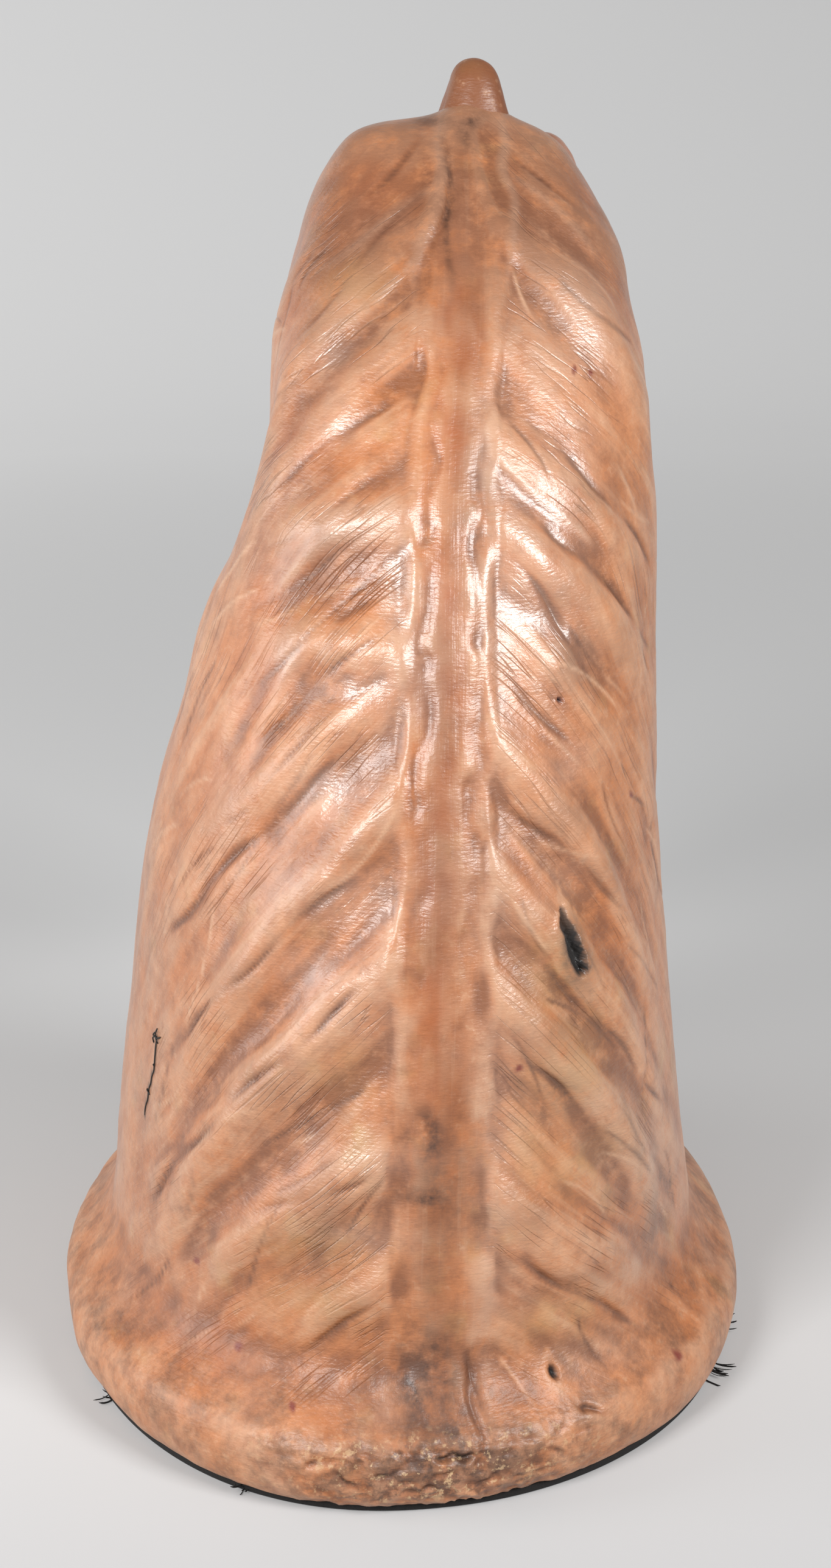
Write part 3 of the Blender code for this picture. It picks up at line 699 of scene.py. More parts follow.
def damage_relief(distance, up):
    """Gash and small holes in the leather."""
    past, _ = gash_frame(distance, up)
    relief = -5.0 * smooth((0.4 - past) / 1.8) + 0.6 * hump(past - 2.8, 2.0)
    for ring in hole_rings(distance, up):
        relief += 0.2 * hump(ring - 2.0, 0.6) - 3.0 * smooth(1.3 - ring)
    return relief


def slit_frames(distance, up):
    """Distance off each slit of the rim, how far inside its ends a place is, and its depth."""
    for middle, height, length, tilt, depth in RIM_SLITS:
        along = distance - middle
        across = up - height - tilt * along + 1.6 * waver(along / 4.0, 85, middle)
        yield across, smooth((length - np.abs(along)) / 6.0), depth


def rim_relief(points, distance):
    """Lumps of the leather that is rolled over the rim, with tucks and slits at the back."""
    up = points[:, :, 2]
    relief = 1.3 * lumpy(points, 40.0, 71, 2) + 0.45 * lumpy(points, 15.0, 73, 2)
    at_back = hump(distance - 8.0, 62.0) * smooth((46.0 - up) / 14.0)
    bent = distance + 5.0 * field_noise([distance / 11.0, up / 9.0], 76)
    puckers = 1.0 - 2.4 * np.abs(field_noise([bent / 13.0, up / 8.0], 75))
    shreds = 1.0 - 2.4 * np.abs(field_noise([bent / 5.5, up / 3.6], 81))
    crumbs = field_noise([distance / 2.6, up / 2.2], 83)
    relief = relief + at_back * (0.8 * puckers + 0.75 * shreds + 0.45 * crumbs)
    cleft = distance + 13.0 + 0.10 * (up - 50.0) + 1.5 * np.sin(up / 5.0)
    below = smooth((74.0 - up) / 12.0)
    relief = relief - 1.4 * hump(cleft, 1.8) * below * smooth((up - 22.0) / 8.0)
    relief = relief + 0.5 * hump(cleft + 5.5, 3.5) * below
    for across, inside, depth in slit_frames(distance, up):
        relief += depth * inside * (0.4 * hump(across + 4.0, 3.0) - hump(across, 1.5))
    return relief


def plain_form(shape, angle):
    """Points of the form without relief on a straight head, and how far each is to the side."""
    cos, sin = np.cos(angle)[None, :], np.sin(angle)[None, :]
    share = (1.0 - cos) / 2.0
    back_x, back_z, front_x, front_z, half, back_side, front_side, back_power, front_power = (
        shape[:, k:k + 1] for k in range(9))
    power = back_power + (front_power - back_power) * smooth(share)
    side = half * np.sign(sin) * np.abs(sin) ** power
    forward = back_x + (front_x - back_x) * share
    up = back_z + (front_z - back_z) * share
    return np.stack([side, forward, up], axis=2), back_side + (front_side - back_side) * share


def bust_form(rim_rows, neck_rows, columns):
    """Fine surface of the whole leather form, in millimetres (side, forward, up).

    Two parameters run over the surface: the station, from the rim's underside round the rolled
    edge, up the neck, over the poll and down the face, and the angle round each section from
    the crest.  A section's side reach is its half width times the sine of the angle raised to
    the section's squareness, and its place in the middle plane is the crest point moved
    towards the throat point by half of one minus the cosine.  The relief then moves each
    point along its normal.
    """
    knots, table = section_table()
    poll = knots[POLL]
    t = np.linspace(0.0, knots[-1], neck_rows)
    angle = turn_angles(columns)
    neck, shift = plain_form(spline(knots, table, t), angle)
    side, forward, up = (neck[:, :, k] for k in range(3))

    travelled = np.cumsum(np.linalg.norm(neck - np.roll(neck, 1, axis=1), axis=2), axis=1)
    crest = int(np.argmin(np.abs(angle)))
    distance = travelled - travelled[:, crest:crest + 1]
    height_share = np.clip((up[:, crest:crest + 1] - BAND_FOOT) / BAND_RISE, 0.0, 1.0)
    half_band = (BAND_HALF_WIDTH_TOP - BAND_HALF_WIDTH_LOW) * height_share + BAND_HALF_WIDTH_LOW
    s = t[:, None]
    half_band = half_band * (1.0 - 0.6 * smooth((s - poll + 70.0) / 60.0))

    on_band = smooth((poll + 8.0 - s) / 25.0) * smooth(s / 40.0)
    on_band = on_band * (0.25 + 0.75 * smooth((up - 150.0) / 130.0))
    on_neck = smooth((poll - s) / 70.0) * smooth(s / 40.0)
    on_face = smooth((s - poll - 20.0) / 60.0) * smooth((t[-1] - s) / 30.0)
    on_face = on_face * smooth((np.abs(np.sin(angle))[None, :] - 0.12) / 0.5)
    lock_side, lock_forward, _ = FORELOCK_PATH[1]
    to_lock = np.hypot(side + shift - POLL_SIDE - lock_side, forward - lock_forward)
    relief = on_band * band_relief(distance, half_band)
    relief = relief + on_neck * fold_relief(distance, up, half_band)
    relief = relief + smooth((poll + 40.0 - s) / 60.0) * lump_relief(distance, up)
    flare = LOCK_FLARE_RISE * hump(to_lock, LOCK_FLARE_REACH)
    relief = relief + flare * smooth((up - 590.0) / 30.0)
    relief = relief + on_face * (face_relief(forward, up) + face_detail(forward, up))
    neck = swollen(neck, relief)
    neck[:, :, 0] += shift

    rim = rim_grid(neck, angle, rim_rows)
    points = np.concatenate([rim, neck], axis=0)
    distance, half_band, on_face = (
        np.concatenate([np.repeat((v + 0.0 * up)[:1], len(rim), axis=0), v + 0.0 * up], axis=0)
        for v in (distance, half_band, on_face))
    stations = np.concatenate([np.linspace(-90.0, -1.0, len(rim)), t])
    s = stations[:, None]
    forward, up = points[:, :, 1], points[:, :, 2]
    rolled = smooth((10.0 - s) / 30.0) * smooth((s + 88.0) / 10.0)
    on_skin = smooth((poll + 10.0 - s) / 50.0) * smooth((s + 35.0) / 40.0)
    on_skin = on_skin * smooth((np.pi - np.abs(angle)[None, :]) / 0.35)
    scored, worn_lines = line_marks(distance, up)
    relief = crease_relief(distance, up) + streak_relief(distance, up, half_band)
    relief = relief + 0.40 * worn_lines - 0.50 * scored
    relief = relief + spine_relief(distance, up, half_band) + seam_relief(distance, up)
    relief = on_skin * (relief - sunken_edge(distance, up, half_band))
    relief = relief + rolled * rim_relief(points, distance)
    damaged = smooth((s + 60.0) / 40.0) * smooth((poll - s) / 40.0)
    relief = relief + damaged * damage_relief(distance, up)
    soft = 0.5 * lumpy(points, 48.0, 91, 2) + 0.4 * lumpy(points, 17.0, 95, 2)
    soft = soft * smooth((s + 80.0) / 10.0) * smooth((stations[-1] - s) / 12.0)
    points = swollen(points, relief + soft)
    return {
        "points": points, "normal": facing_out(points), "stations": stations, "poll": poll,
        "distance": distance, "up": up, "forward": forward, "rolled": rolled + 0.0 * up,
        "half_band": half_band, "on_skin": on_skin, "on_face": on_face,
        "scored": scored * on_skin, "worn_lines": worn_lines * on_skin,
    }


def rim_grid(neck, angle, rows):
    """Rows of the rim: flat underside, round rolled edge, and a sweep into the neck's foot.

    The rolled edge is a half circle squeezed to the rim's height and its inward reach, and
    the sweep is a cubic curve that leaves the roll and arrives at the neck along its rise.
    """
    settings = bpy.context.scene.bust_form
    pad_top = (settings.pad_thickness + PAD_GAP) / MILLIMETRE
    width, depth = settings.base_width / MILLIMETRE, settings.base_depth / MILLIMETRE
    side, forward = base_outline(angle, width, depth, 0.0)
    rim = np.stack([side, forward, np.zeros_like(side)], axis=1)
    foot = neck[0]
    inward = unit((foot - rim) * (1.0, 1.0, 0.0))
    edge, under = settings.rim_edge / MILLIMETRE, settings.rim_undercut / MILLIMETRE
    half = settings.rim_height / MILLIMETRE / 2.0
    rolled = []
    for turn in np.radians(np.linspace(-90.0, 55.0, rows)):
        ring = rim + inward * (edge if turn > 0.0 else under) * (1.0 - np.cos(turn))
        ring[:, 2] = pad_top + half + half * np.sin(turn)
        rolled.append(ring)
    start = rolled[-1]
    leave_angle = np.arctan2(edge * np.sin(turn), half * np.cos(turn))
    leave = inward * np.sin(leave_angle)
    leave[:, 2] = np.cos(leave_angle)
    arrive = unit(neck[1] - neck[0])
    span = np.linalg.norm(foot - start, axis=1, keepdims=True)
    sweep = []
    for x in np.linspace(0.0, 1.0, rows // 2 + 2)[1:-1]:
        row = start * (2.0 * x**3 - 3.0 * x**2 + 1.0) + foot * (3.0 * x**2 - 2.0 * x**3)
        row = row + leave * span * (x**3 - 2.0 * x**2 + x) * 0.8
        sweep.append(row + arrive * span * (x**3 - x**2))
    underside = []
    for part in (0.3, 0.6, 0.8, 0.9, 0.96):
        ring = rolled[0] * part
        ring[:, 2] = pad_top
        underside.append(ring)
    return np.array(underside + rolled + sweep)


def curvature(points, normal, reach):
    """How far each point stands out from the middle of its neighbours, in millimetres."""
    around = np.roll(points, reach, axis=1) + np.roll(points, -reach, axis=1)
    padded = np.concatenate([points[:1]] * reach + [points] + [points[-1:]] * reach, axis=0)
    around = around + padded[2 * reach:] + padded[:-2 * reach]
    return ((points - around / 4.0) * normal).sum(axis=2)


def patch_marks(patches, a, z):
    """Soft oval patches on the unrolled skin, the strongest one at each place."""
    strongest = np.zeros_like(a)
    for (middle, height), (wide, tall), strength in patches:
        ring = np.hypot((a - middle) / wide, (z - height) / tall)
        strongest = np.maximum(strongest, strength * np.exp(-(ring**2) * 0.9))
    return strongest


def opening_marks(form, back):
    """How dark the painted shade is inside a gash, hole, tear, slit, nostril or the mouth."""
    distance, up, forward = form["distance"], form["up"], form["forward"]
    past, share = gash_frame(distance, up)
    dark = smooth((1.9 - past) / 1.8) * (0.80 + 0.20 * smooth((share - 0.2) / 0.3))
    for ring in hole_rings(distance, up):
        dark = np.maximum(dark, smooth(1.5 - ring))
    for start, end in zip(TEAR[:-1], TEAR[1:]):
        travel, across, length = run_frame(distance, up, start, end)
        past_end = np.maximum(np.abs(travel - length / 2.0) - length / 2.0, 0.0)
        dark = np.maximum(dark, 0.9 * smooth(1.6 - np.hypot(across, past_end) / 1.2))
    slits = np.zeros_like(up)
    for across, inside, depth in slit_frames(distance, form["points"][:, :, 2]):
        slits = np.maximum(slits, depth / 3.0 * inside * hump(across, 1.1))
    dark = np.maximum(dark * back, slits * form["rolled"])
    ring = feature_ring(forward, up, NOSTRIL, NOSTRIL_SIZE)[2]
    travel, off, mouth = mouth_frame(forward, up)
    lips = smooth((travel + 8.0) / 10.0) * smooth((mouth + 14.0 - travel) / 8.0)
    face = np.maximum(0.9 * smooth((1.15 - ring) / 0.5), 0.7 * hump(off, 3.0) * lips)
    return np.maximum(dark, face * form["on_face"])


def surface_marks(form):
    """Marks for the leather's shader: ridges, hollows, patches, stains, spots and openings."""
    points, normal, distance, up = form["points"], form["normal"], form["distance"], form["up"]
    half_band, on_skin = form["half_band"], form["on_skin"]
    broad = 1.1 * (curvature(points, normal, 7) + 0.6 * curvature(points, normal, 3))
    past_poll = form["stations"][:, None] - form["poll"]
    back = smooth((35.0 - past_poll) / 60.0) + 0.0 * up
    a = distance + 3.0 * field_noise([distance / 9.0, up / 9.0], 51)
    z = up + 4.0 * field_noise([distance / 8.0, up / 10.0], 52)
    red = np.zeros_like(up)
    for (middle, height), radius in RED_SPOTS:
        red = np.maximum(red, smooth(1.5 - np.hypot(a - middle, z - height) / radius))
    past, share = gash_frame(distance, up)
    halo = hump(past - 1.0, 5.0) * smooth((share + 0.1) / 0.6)
    brown, stains, orange, straw, pale, gloss = (
        patch_marks(patches, a, z) for patches in (
            BROWN_PATCHES, STAINS, ORANGE_PATCHES, STRAW_PATCHES, PALE_PATCHES, GLOSS_PATCHES))
    middle = distance - 2.0 + 5.0 * waver(up / 40.0, 44)
    shred = smooth((48.0 - up) / 14.0) * smooth((up - 6.0) / 8.0)
    stretched = smooth((np.abs(distance) - 0.6 * half_band) / 24.0)
    marks = {
        "ridge": broad,
        # Painted shade: hollows of the relief darkened, joined with the darker brown patches.
        "hollow": np.maximum(-broad, brown * back),
        # Stains and the gash's halo, with painted shade in the split beside the poll.
        "stain": np.maximum(stains, 0.8 * halo) * back,
        # Painted shade: greyer and darker towards the top of the crown.
        "crown": smooth((up - 530.0) / 80.0) * smooth((90.0 - past_poll) / 150.0),
        "straw": straw * back,
        "orange": orange * back,
        "pale": np.maximum(pale, seam_marks(distance, up)) * back,
        "gloss": gloss * back,
        # Painted shade along the scored lines and the creases.
        "scored": np.maximum(form["scored"], crease_marks(distance, up) * on_skin),
        "worn_lines": form["worn_lines"],
        "shred": hump(distance - 6.0, 66.0) * shred,
        "red_spot": red * back,
        # Painted shade inside the openings: gash, holes, tear, slits, nostrils and mouth.
        "opening": opening_marks(form, back),
        "eye": form["on_face"] * smooth(
            (0.86 - feature_ring(form["forward"], up, EYE, EYE_SIZE)[2]) / 0.12),
        "rim": form["rolled"],
        "band": hump(distance, half_band + 4.0) ** 2 * on_skin,
        "middle": hump(middle, 0.38 * half_band) * on_skin,
        "stretched": stretched * on_skin * smooth((260.0 - np.abs(distance)) / 150.0),
    }
    return {label: np.clip(values, 0.0, 1.0) for label, values in marks.items()}


def skin_coordinates(form):
    """Unrolled skin in metres: outwards from the crest, and across the folds."""
    flow = flow_height(form["distance"], form["up"], form["half_band"])
    return np.stack([form["distance"] * MILLIMETRE, flow * MILLIMETRE], axis=2)


def to_world(points):
    """Millimetres (side, forward, up) to metres, with the horse facing -Y."""
    return points * FACING * MILLIMETRE


def with_ends(values):
    """Grid values as rows, followed by the mean of the first row and of the last."""
    flat = values.reshape(-1, *values.shape[2:])
    return np.concatenate([flat, values[0].mean(axis=0)[None], values[-1].mean(axis=0)[None]])


def grid_object(name, grid, normal=None, marks=None, skin=None):
    """Closed mesh object of a grid that closes round its second direction, with end poles."""
    rows, columns, _ = grid.shape
    verts = with_ends(grid)
    i = np.arange(rows - 1)[:, None] * columns
    j = np.arange(columns)[None, :]
    k = (j + 1) % columns
    quads = np.stack([i + j, i + k, i + columns + k, i + columns + j], axis=2).reshape(-1, 4)
    j, k = j[0], k[0]
    first, last = rows * columns, rows * columns + 1
    start = np.stack([np.full(columns, first), k, j], axis=1)
    end_row = (rows - 1) * columns
    end = np.stack([np.full(columns, last), end_row + j, end_row + k], axis=1)
    corners = np.concatenate([quads.ravel(), start.ravel(), end.ravel()]).astype(np.int32)
    sizes = np.concatenate([np.full(len(quads), 4), np.full(2 * columns, 3)])
    starts = np.concatenate([[0], np.cumsum(sizes)[:-1]]).astype(np.int32)
    mesh = bpy.data.meshes.new(name)
    mesh.vertices.add(len(verts))
    mesh.vertices.foreach_set("co", verts.ravel().astype(np.float32))
    mesh.loops.add(len(corners))
    mesh.loops.foreach_set("vertex_index", corners)
    mesh.polygons.add(len(sizes))
    mesh.polygons.foreach_set("loop_start", starts)
    mesh.update(calc_edges=True)
    if skin is not None:
        uv = unwrapped(with_ends(skin), corners, sizes)
        layer = mesh.uv_layers.new(name="skin")
        layer.data.foreach_set("uv", uv.ravel().astype(np.float32))
    for label, values in (marks or {}).items():
        attribute = mesh.attributes.new(label, "FLOAT", "POINT")
        attribute.data.foreach_set("value", with_ends(values).astype(np.float32))
    mesh.shade_smooth()
    if volume_sign(verts, quads) < 0.0:
        mesh.flip_normals()
    if normal is not None:
        full = np.concatenate([normal.reshape(-1, 3), [[0.0, 0.0, -1.0]] * 2])
        mesh.normals_split_custom_set_from_vertices(full.tolist())
    mesh.validate()
    return linked(bpy.data.objects.new(name, mesh))


def linked(item):
    """Puts a new object into the scene."""
    bpy.context.scene.collection.objects.link(item)
    return item


def volume_sign(verts, quads):
    """Sign of the volume that the quads enclose."""
    a, b, c, d = (verts[quads[:, k]] for k in range(4))
    return np.sign(np.sum(a * np.cross(b, c)) + np.sum(a * np.cross(c, d)))


def unwrapped(flat, corners, sizes):
    """Corner coordinates of the skin, with the faces across the seam kept narrow."""
    uv = flat[corners]
    face = np.repeat(np.arange(len(sizes)), sizes)
    highest, lowest = np.full(len(sizes), -1e9), np.full(len(sizes), 1e9)
    np.maximum.at(highest, face, uv[:, 0])
    np.minimum.at(lowest, face, uv[:, 0])
    wrap = ((highest - lowest)[face] > SEAM_JUMP) & (uv[:, 0] < 0.0)
    uv[wrap, 0] *= -1.0
    return uv


def to_linear(code):
    """Linear colour of an sRGB hex code, with full alpha."""
    parts = [int(code[k:k + 2], 16) / 255.0 for k in (0, 2, 4)]
    linear = [c / 12.92 if c <= 0.04045 else ((c + 0.055) / 1.055) ** 2.4 for c in parts]
    return (*linear, 1.0)


def add_node(tree, kind, inputs=(), output=0, **settings):
    """Output of a new node with the given settings.

    Inputs are listed in order, or by name or number; each is another node's output, a number,
    a vector or a colour's hex code, and None leaves it as it is.
    """
    node = tree.nodes.new(kind)
    for key, value in settings.items():
        setattr(node, key, value)
    for key, source in inputs.items() if isinstance(inputs, dict) else enumerate(inputs):
        if isinstance(source, bpy.types.NodeSocket):
            tree.links.new(source, node.inputs[key])
        elif source is not None:
            value = to_linear(source) if isinstance(source, str) else source
            node.inputs[key].default_value = value
    return node.outputs[output]


def product(tree, *factors):
    """Product of factors, each an output, a number, or an output with two of its values.

    The range between those two values is first spread over 0 to 1.
    """
    total = None
    for factor in factors:
        if isinstance(factor, tuple):
            names = ("Value", "From Min", "From Max")
            factor = add_node(tree, "ShaderNodeMapRange", dict(zip(names, factor)))
        if total is not None:
            factor = add_node(tree, "ShaderNodeMath", (total, factor), operation="MULTIPLY")
        total = factor
    return total


def raised(tree, base, *terms):
    """Base value with terms added to it, each the factors of a product and then its weight."""
    for *factors, weight in terms:
        inputs = (product(tree, *factors), weight, base)
        base = add_node(tree, "ShaderNodeMath", inputs, operation="MULTIPLY_ADD")
    return base


def painted(tree, colour, *coats):
    """Colour with coats of paint over it, each a tint and the factors of its strength."""
    for tint, *factors in coats:
        inputs = {0: product(tree, *factors), 6: colour, 7: tint}
        colour = add_node(tree, "ShaderNodeMix", inputs, 2, data_type="RGBA")
    return colour


def embossed(tree, normal, *heights):
    """Normal with heights pressed into it, each a height, its metres and its strength."""
    for height, metres, strength in heights:
        normal = add_node(tree, "ShaderNodeBump", {
            "Height": height, "Distance": metres, "Strength": strength, "Normal": normal})
    return normal


def grained(tree, place, scale, detail, roughness, stretch=None):
    """Random pattern over the coordinates, with features of about one over the scale.

    The coordinates are first stretched by a factor on each axis.
    """
    if stretch:
        place = add_node(tree, "ShaderNodeMapping", {"Vector": place, "Scale": stretch})
    return add_node(tree, "ShaderNodeTexNoise", {
        "Vector": place, "Scale": scale, "Detail": detail, "Roughness": roughness})


def new_material(name, inputs):
    """Node material, its tree and its shader, with the given inputs set by name."""
    material = bpy.data.materials.new(name)
    material.use_nodes = True
    shader = material.node_tree.nodes["Principled BSDF"]
    for key, value in inputs.items():
        shader.inputs[key].default_value = value
    return material, material.node_tree, shader


def connect(tree, shader, **sources):
    """Links outputs to the shader's inputs of those names."""
    for key, source in sources.items():
        tree.links.new(source, shader.inputs[key.replace("_", " ")])


def waxed_leather(name, marked=True, shade=0.0, tint=None, wax_weight=None):
    """Tan hide glued over the form and waxed: warm uneven colour with a worn shine.

    Blotches of orange, tan, grey and straw give the uneven dye, streaks follow the stretched
    folds, ridges are rubbed pale, and a fine ripple gives the grain. Painted shade darkens the
    hollows, creases, grooves, crown and openings, and a painted sheen pales the thick wax.
    """
    s = bpy.context.scene.bust_leather
    material, tree, shader = new_material(name, {
        "Coat Weight": s.wax if wax_weight is None else wax_weight,
        "Coat Roughness": s.wax_roughness,
    })
    place = add_node(tree, "ShaderNodeTexCoord", output="Object")

    # Uneven dye, from blotches of 8 cm down to a mottle of 6 mm.
    mottle = grained(tree, place, 170.0, 5.0, 0.68)
    dust = grained(tree, place, 24.0, 4.0, 0.62, (1.0, 1.0, 0.6))
    colour = painted(
        tree, s.warm,
        (s.pale, (grained(tree, place, 13.0, 4.0, 0.62), 0.40, 0.62)),
        (s.dusty, (dust, 0.48, 0.66), 0.55),
        (s.straw, (grained(tree, place, 31.0, 3.0, 0.6), 0.60, 0.72), 0.35),
        (s.brown, (grained(tree, place, 44.0, 5.0, 0.70), 0.50, 0.74), 0.50),
        (s.brown, (mottle, 0.50, 0.74), 0.38),
        (tint or s.brown, shade),
        (s.rubbed, (mottle, 0.44, 0.30), 0.30),
    )

    # Grain: wrinkles of 8 mm and a ripple of 1.2 mm that lies level.
    ripple = grained(tree, place, 820.0, 2.0, 0.5, (0.33, 0.33, 1.0))
    wrinkle = grained(tree, place, 120.0, 5.0, 0.62)
    normal = embossed(tree, None, (wrinkle, 0.0016, 0.28), (ripple, 0.00060, 0.50))
    patchy = grained(tree, place, 17.0, 3.0, 0.6)
    roughness = raised(tree, s.roughness, ((patchy, 0.35, 0.65), 0.14), (mottle, 0.10))
    if marked:
        mark = {
            label: add_node(tree, "ShaderNodeAttribute", output="Fac", attribute_name=label)
            for label in MARKS}
        stretched, band = mark["stretched"], mark["band"]

        # Patterns along the unrolled skin: threads 2 mm and flow lines 14 mm apart that
        # follow the folds, grooves 8 mm apart, and rubbed lines that run up the band.
        skin = add_node(tree, "ShaderNodeUVMap", output="UV", uv_map="skin")
        threads = grained(tree, skin, 1.0, 3.0, 0.6, (22.0, 420.0, 1.0))
        flow = grained(tree, skin, 1.0, 4.0, 0.60, (11.0, 70.0, 1.0))
        lines = grained(tree, skin, 1.0, 2.0, 0.5, (15.0, 125.0, 1.0))
        along = grained(tree, skin, 1.0, 3.0, 0.6, (260.0, 11.0, 1.0))
        off_line = add_node(tree, "ShaderNodeMath", (lines, 0.5), operation="SUBTRACT")
        off_line = add_node(tree, "ShaderNodeMath", (off_line,), operation="ABSOLUTE")
        here = grained(tree, place, 21.0, 2.0, 0.55)
        groove = product(tree, (off_line, 0.030, 0.0), (here, 0.46, 0.62), stretched)

        speckle = product(tree, (grained(tree, place, 70.0, 4.0, 0.7), 0.26, 0.56))
        blots = grained(tree, place, 55.0, 5.0, 0.72)
        dirt, torn = (grained(tree, place, scale, 5.0, 0.7) for scale in (130.0, 190.0))
        colour = painted(
            tree, colour,
            (s.rubbed, stretched, (threads, 0.56, 0.74), 0.22),
            (s.brown, stretched, (flow, 0.52, 0.72), 0.42),
            (s.rubbed, stretched, (flow, 0.46, 0.30), 0.35),
            # Painted shade along the grooves.
            (s.brown, groove, 0.55),
            (s.rubbed, band, (along, 0.55, 0.72), 0.30),
            (s.brown, mark["middle"], 0.46),
            (s.orange, mark["orange"], speckle, 0.85),
            (s.straw, mark["straw"], speckle, 0.80),
            (s.dusty_pale, mark["pale"], speckle, 0.70),
            (s.rubbed, mark["ridge"], speckle, 0.35),
            # Painted shade darkens the hollows.
            (s.brown, mark["hollow"], speckle, 0.72),
            # Painted shade: the crown's top made greyer and darker.
            (s.dusty, mark["crown"], speckle, 0.30),
            (s.brown, mark["crown"], speckle, 0.62),
            # Stains, with the painted shade of the split beside the poll.
            (s.umber, mark["stain"], speckle),
            (s.umber, mark["rim"], (blots, 0.45, 0.70), 0.60),
            (s.umber, mark["shred"], (dirt, 0.47, 0.60), 0.75),
            (s.cream, mark["shred"], (torn, 0.56, 0.64), 0.75),
            # Painted shade along the scored lines and the creases.
            (s.umber, mark["scored"], 0.50),
            (s.rubbed, mark["worn_lines"], 0.50),
            # Painted sheen: a pale haze over the thick wax, standing for a broad reflection.
            (s.bloom, mark["gloss"], 0.13),
            (s.red, mark["red_spot"]),
            # Painted shade inside the openings.
            (s.black, mark["opening"]),
            (s.eye, mark["eye"]),
        )
        flat = add_node(tree, "ShaderNodeMath", (1.0, groove), operation="SUBTRACT")
        normal = embossed(
            tree, normal,
            (product(tree, threads, stretched), 0.0008, 0.20),
            (flat, 0.0007, 0.60),
            (product(tree, along, band), 0.0010, 0.40),
        )
        polish = grained(tree, place, 60.0, 4.0, 0.7)
        gloss = product(tree, mark["gloss"], (polish, 0.30, 0.52))
        roughness = raised(
            tree, roughness, (mark["eye"], -0.30), (mark["opening"], 0.35),
            (mark["rim"], 0.14), (gloss, -0.08),
        )
        wax = raised(tree, s.wax, (mark["rim"], -0.30), (gloss, 1.0 - s.wax))
        connect(tree, shader, Coat_Weight=wax, Coat_IOR=raised(tree, 1.45, (gloss, 0.28)))
    connect(tree, shader, Base_Color=colour, Roughness=roughness, Normal=normal,
            Coat_Normal=normal)
    return material


def matted_felt(name):
    """Black pressed felt: matte and slightly uneven."""
    material, tree, shader = new_material(name, {"Roughness": 0.95})
    place = add_node(tree, "ShaderNodeTexCoord", output="Object")
    fuzz = grained(tree, place, 1400.0, 3.0, 0.7)
    connect(tree, shader, Base_Color=painted(tree, "0b0a0a", ("1e1b1a", fuzz)),
            Normal=embossed(tree, None, (fuzz, 0.0006, 0.8)))
    return material


def waxed_thread(name):
    """Dark waxed linen thread of the sewn repair: nearly black with a faint sheen."""
    return new_material(name, {"Base Color": to_linear("16120f"), "Roughness": 0.6})[0]


def studio_paper(name):
    """Pale matte studio paper, with a painted glow further out for lamps not in the scene."""
    settings = bpy.context.scene.bust_stage
    material, tree, shader = new_material(name, {
        "Emission Color": to_linear(settings.paper), "Roughness": 0.9,
        "Specular IOR Level": 0.1,
    })
    place = add_node(tree, "ShaderNodeTexCoord", output="Object")
    radius = add_node(tree, "ShaderNodeVectorMath", (place,), "Value", operation="LENGTH")
    right = add_node(tree, "ShaderNodeSeparateXYZ", (place,), "X")
    behind = add_node(tree, "ShaderNodeSeparateXYZ", (place,), "Y")
    # Painted light: the paper glows, more further from the bust and towards the horse's left.
    glow = product(tree, (radius, -0.6, 3.0), raised(tree, 1.0, (right, 0.16)),
                   settings.painted_far_glow)
    # Painted shade greys the paper towards the camera.
    near = painted(tree, settings.paper, (PAPER_PAINTED_SHADE, (behind, 0.10, 0.60), 0.80))
    connect(tree, shader, Base_Color=near, Emission_Strength=glow)
    return material


def with_head_turn(points):
    """Moves points drawn on a straight head to the turned head's place."""
    turned = points.copy()
    turned[:, :, 0] += POLL_SIDE + HEAD_TURN * (points[:, :, 1] - POLL_FORWARD)
    return turned


def ear_form(rows, columns, sign):
    """Fine surface of one ear: a cupped leaf that widens from its root and ends in a tip.

    Each cross-section is an ellipse whose middle is bent down by the square of the distance
    from the ear's axis, and the width rises then falls to nothing at the tip.
    """
    root = np.array([sign * EAR_ROOT[0], EAR_ROOT[1], EAR_ROOT[2]])
    line = np.array(LEFT_EAR_TIP if sign > 0.0 else RIGHT_EAR_TIP) - root
    ahead = unit(line)
    across = unit(np.cross(ahead, (sign * EAR_ROLL, 0.0, 1.0)))
    over = np.cross(across, ahead)
    over = over * np.sign(over[2])
    t = np.linspace(0.0, 1.0, rows)[:, None]
    angle = np.linspace(0.0, 2.0 * np.pi, columns, endpoint=False)[None, :]
    root_flare = 1.0 + 0.22 * smooth(1.0 - t / 0.22)
    width = EAR_WIDTH / 2.0 * (0.80 + 1.0 * t - 0.6 * t**2)
    width = width * np.clip(1.0 - t**2.2, 0.002, 1.0) ** 1.20
    depth = EAR_THICKNESS / 2.0 * (1.25 - 0.7 * t) * np.sqrt(np.clip(1.0 - t**3, 0.01, 1.0))
    flat = width * root_flare * np.cos(angle)
    thick = depth * root_flare * np.sin(angle)
    cup = -0.35 * (flat**2) / (EAR_WIDTH / 2.0) * smooth(t * 2.0)
    hollow = 0.60 * depth * np.clip(-np.sin(angle), 0.0, 1.0) ** 0.5
    hollow = hollow * hump(np.cos(angle), 0.7) * smooth(t * 4.0)
    bow = 7.0 * np.sin(np.pi * t)
    points = root + line * t[:, :, None] + across * flat[:, :, None]
    points = points + over * (thick + cup + bow + hollow)[:, :, None]
    points = with_head_turn(points)
    return swollen(points, 0.5 * lumpy(points, 11.0, 61, 3))


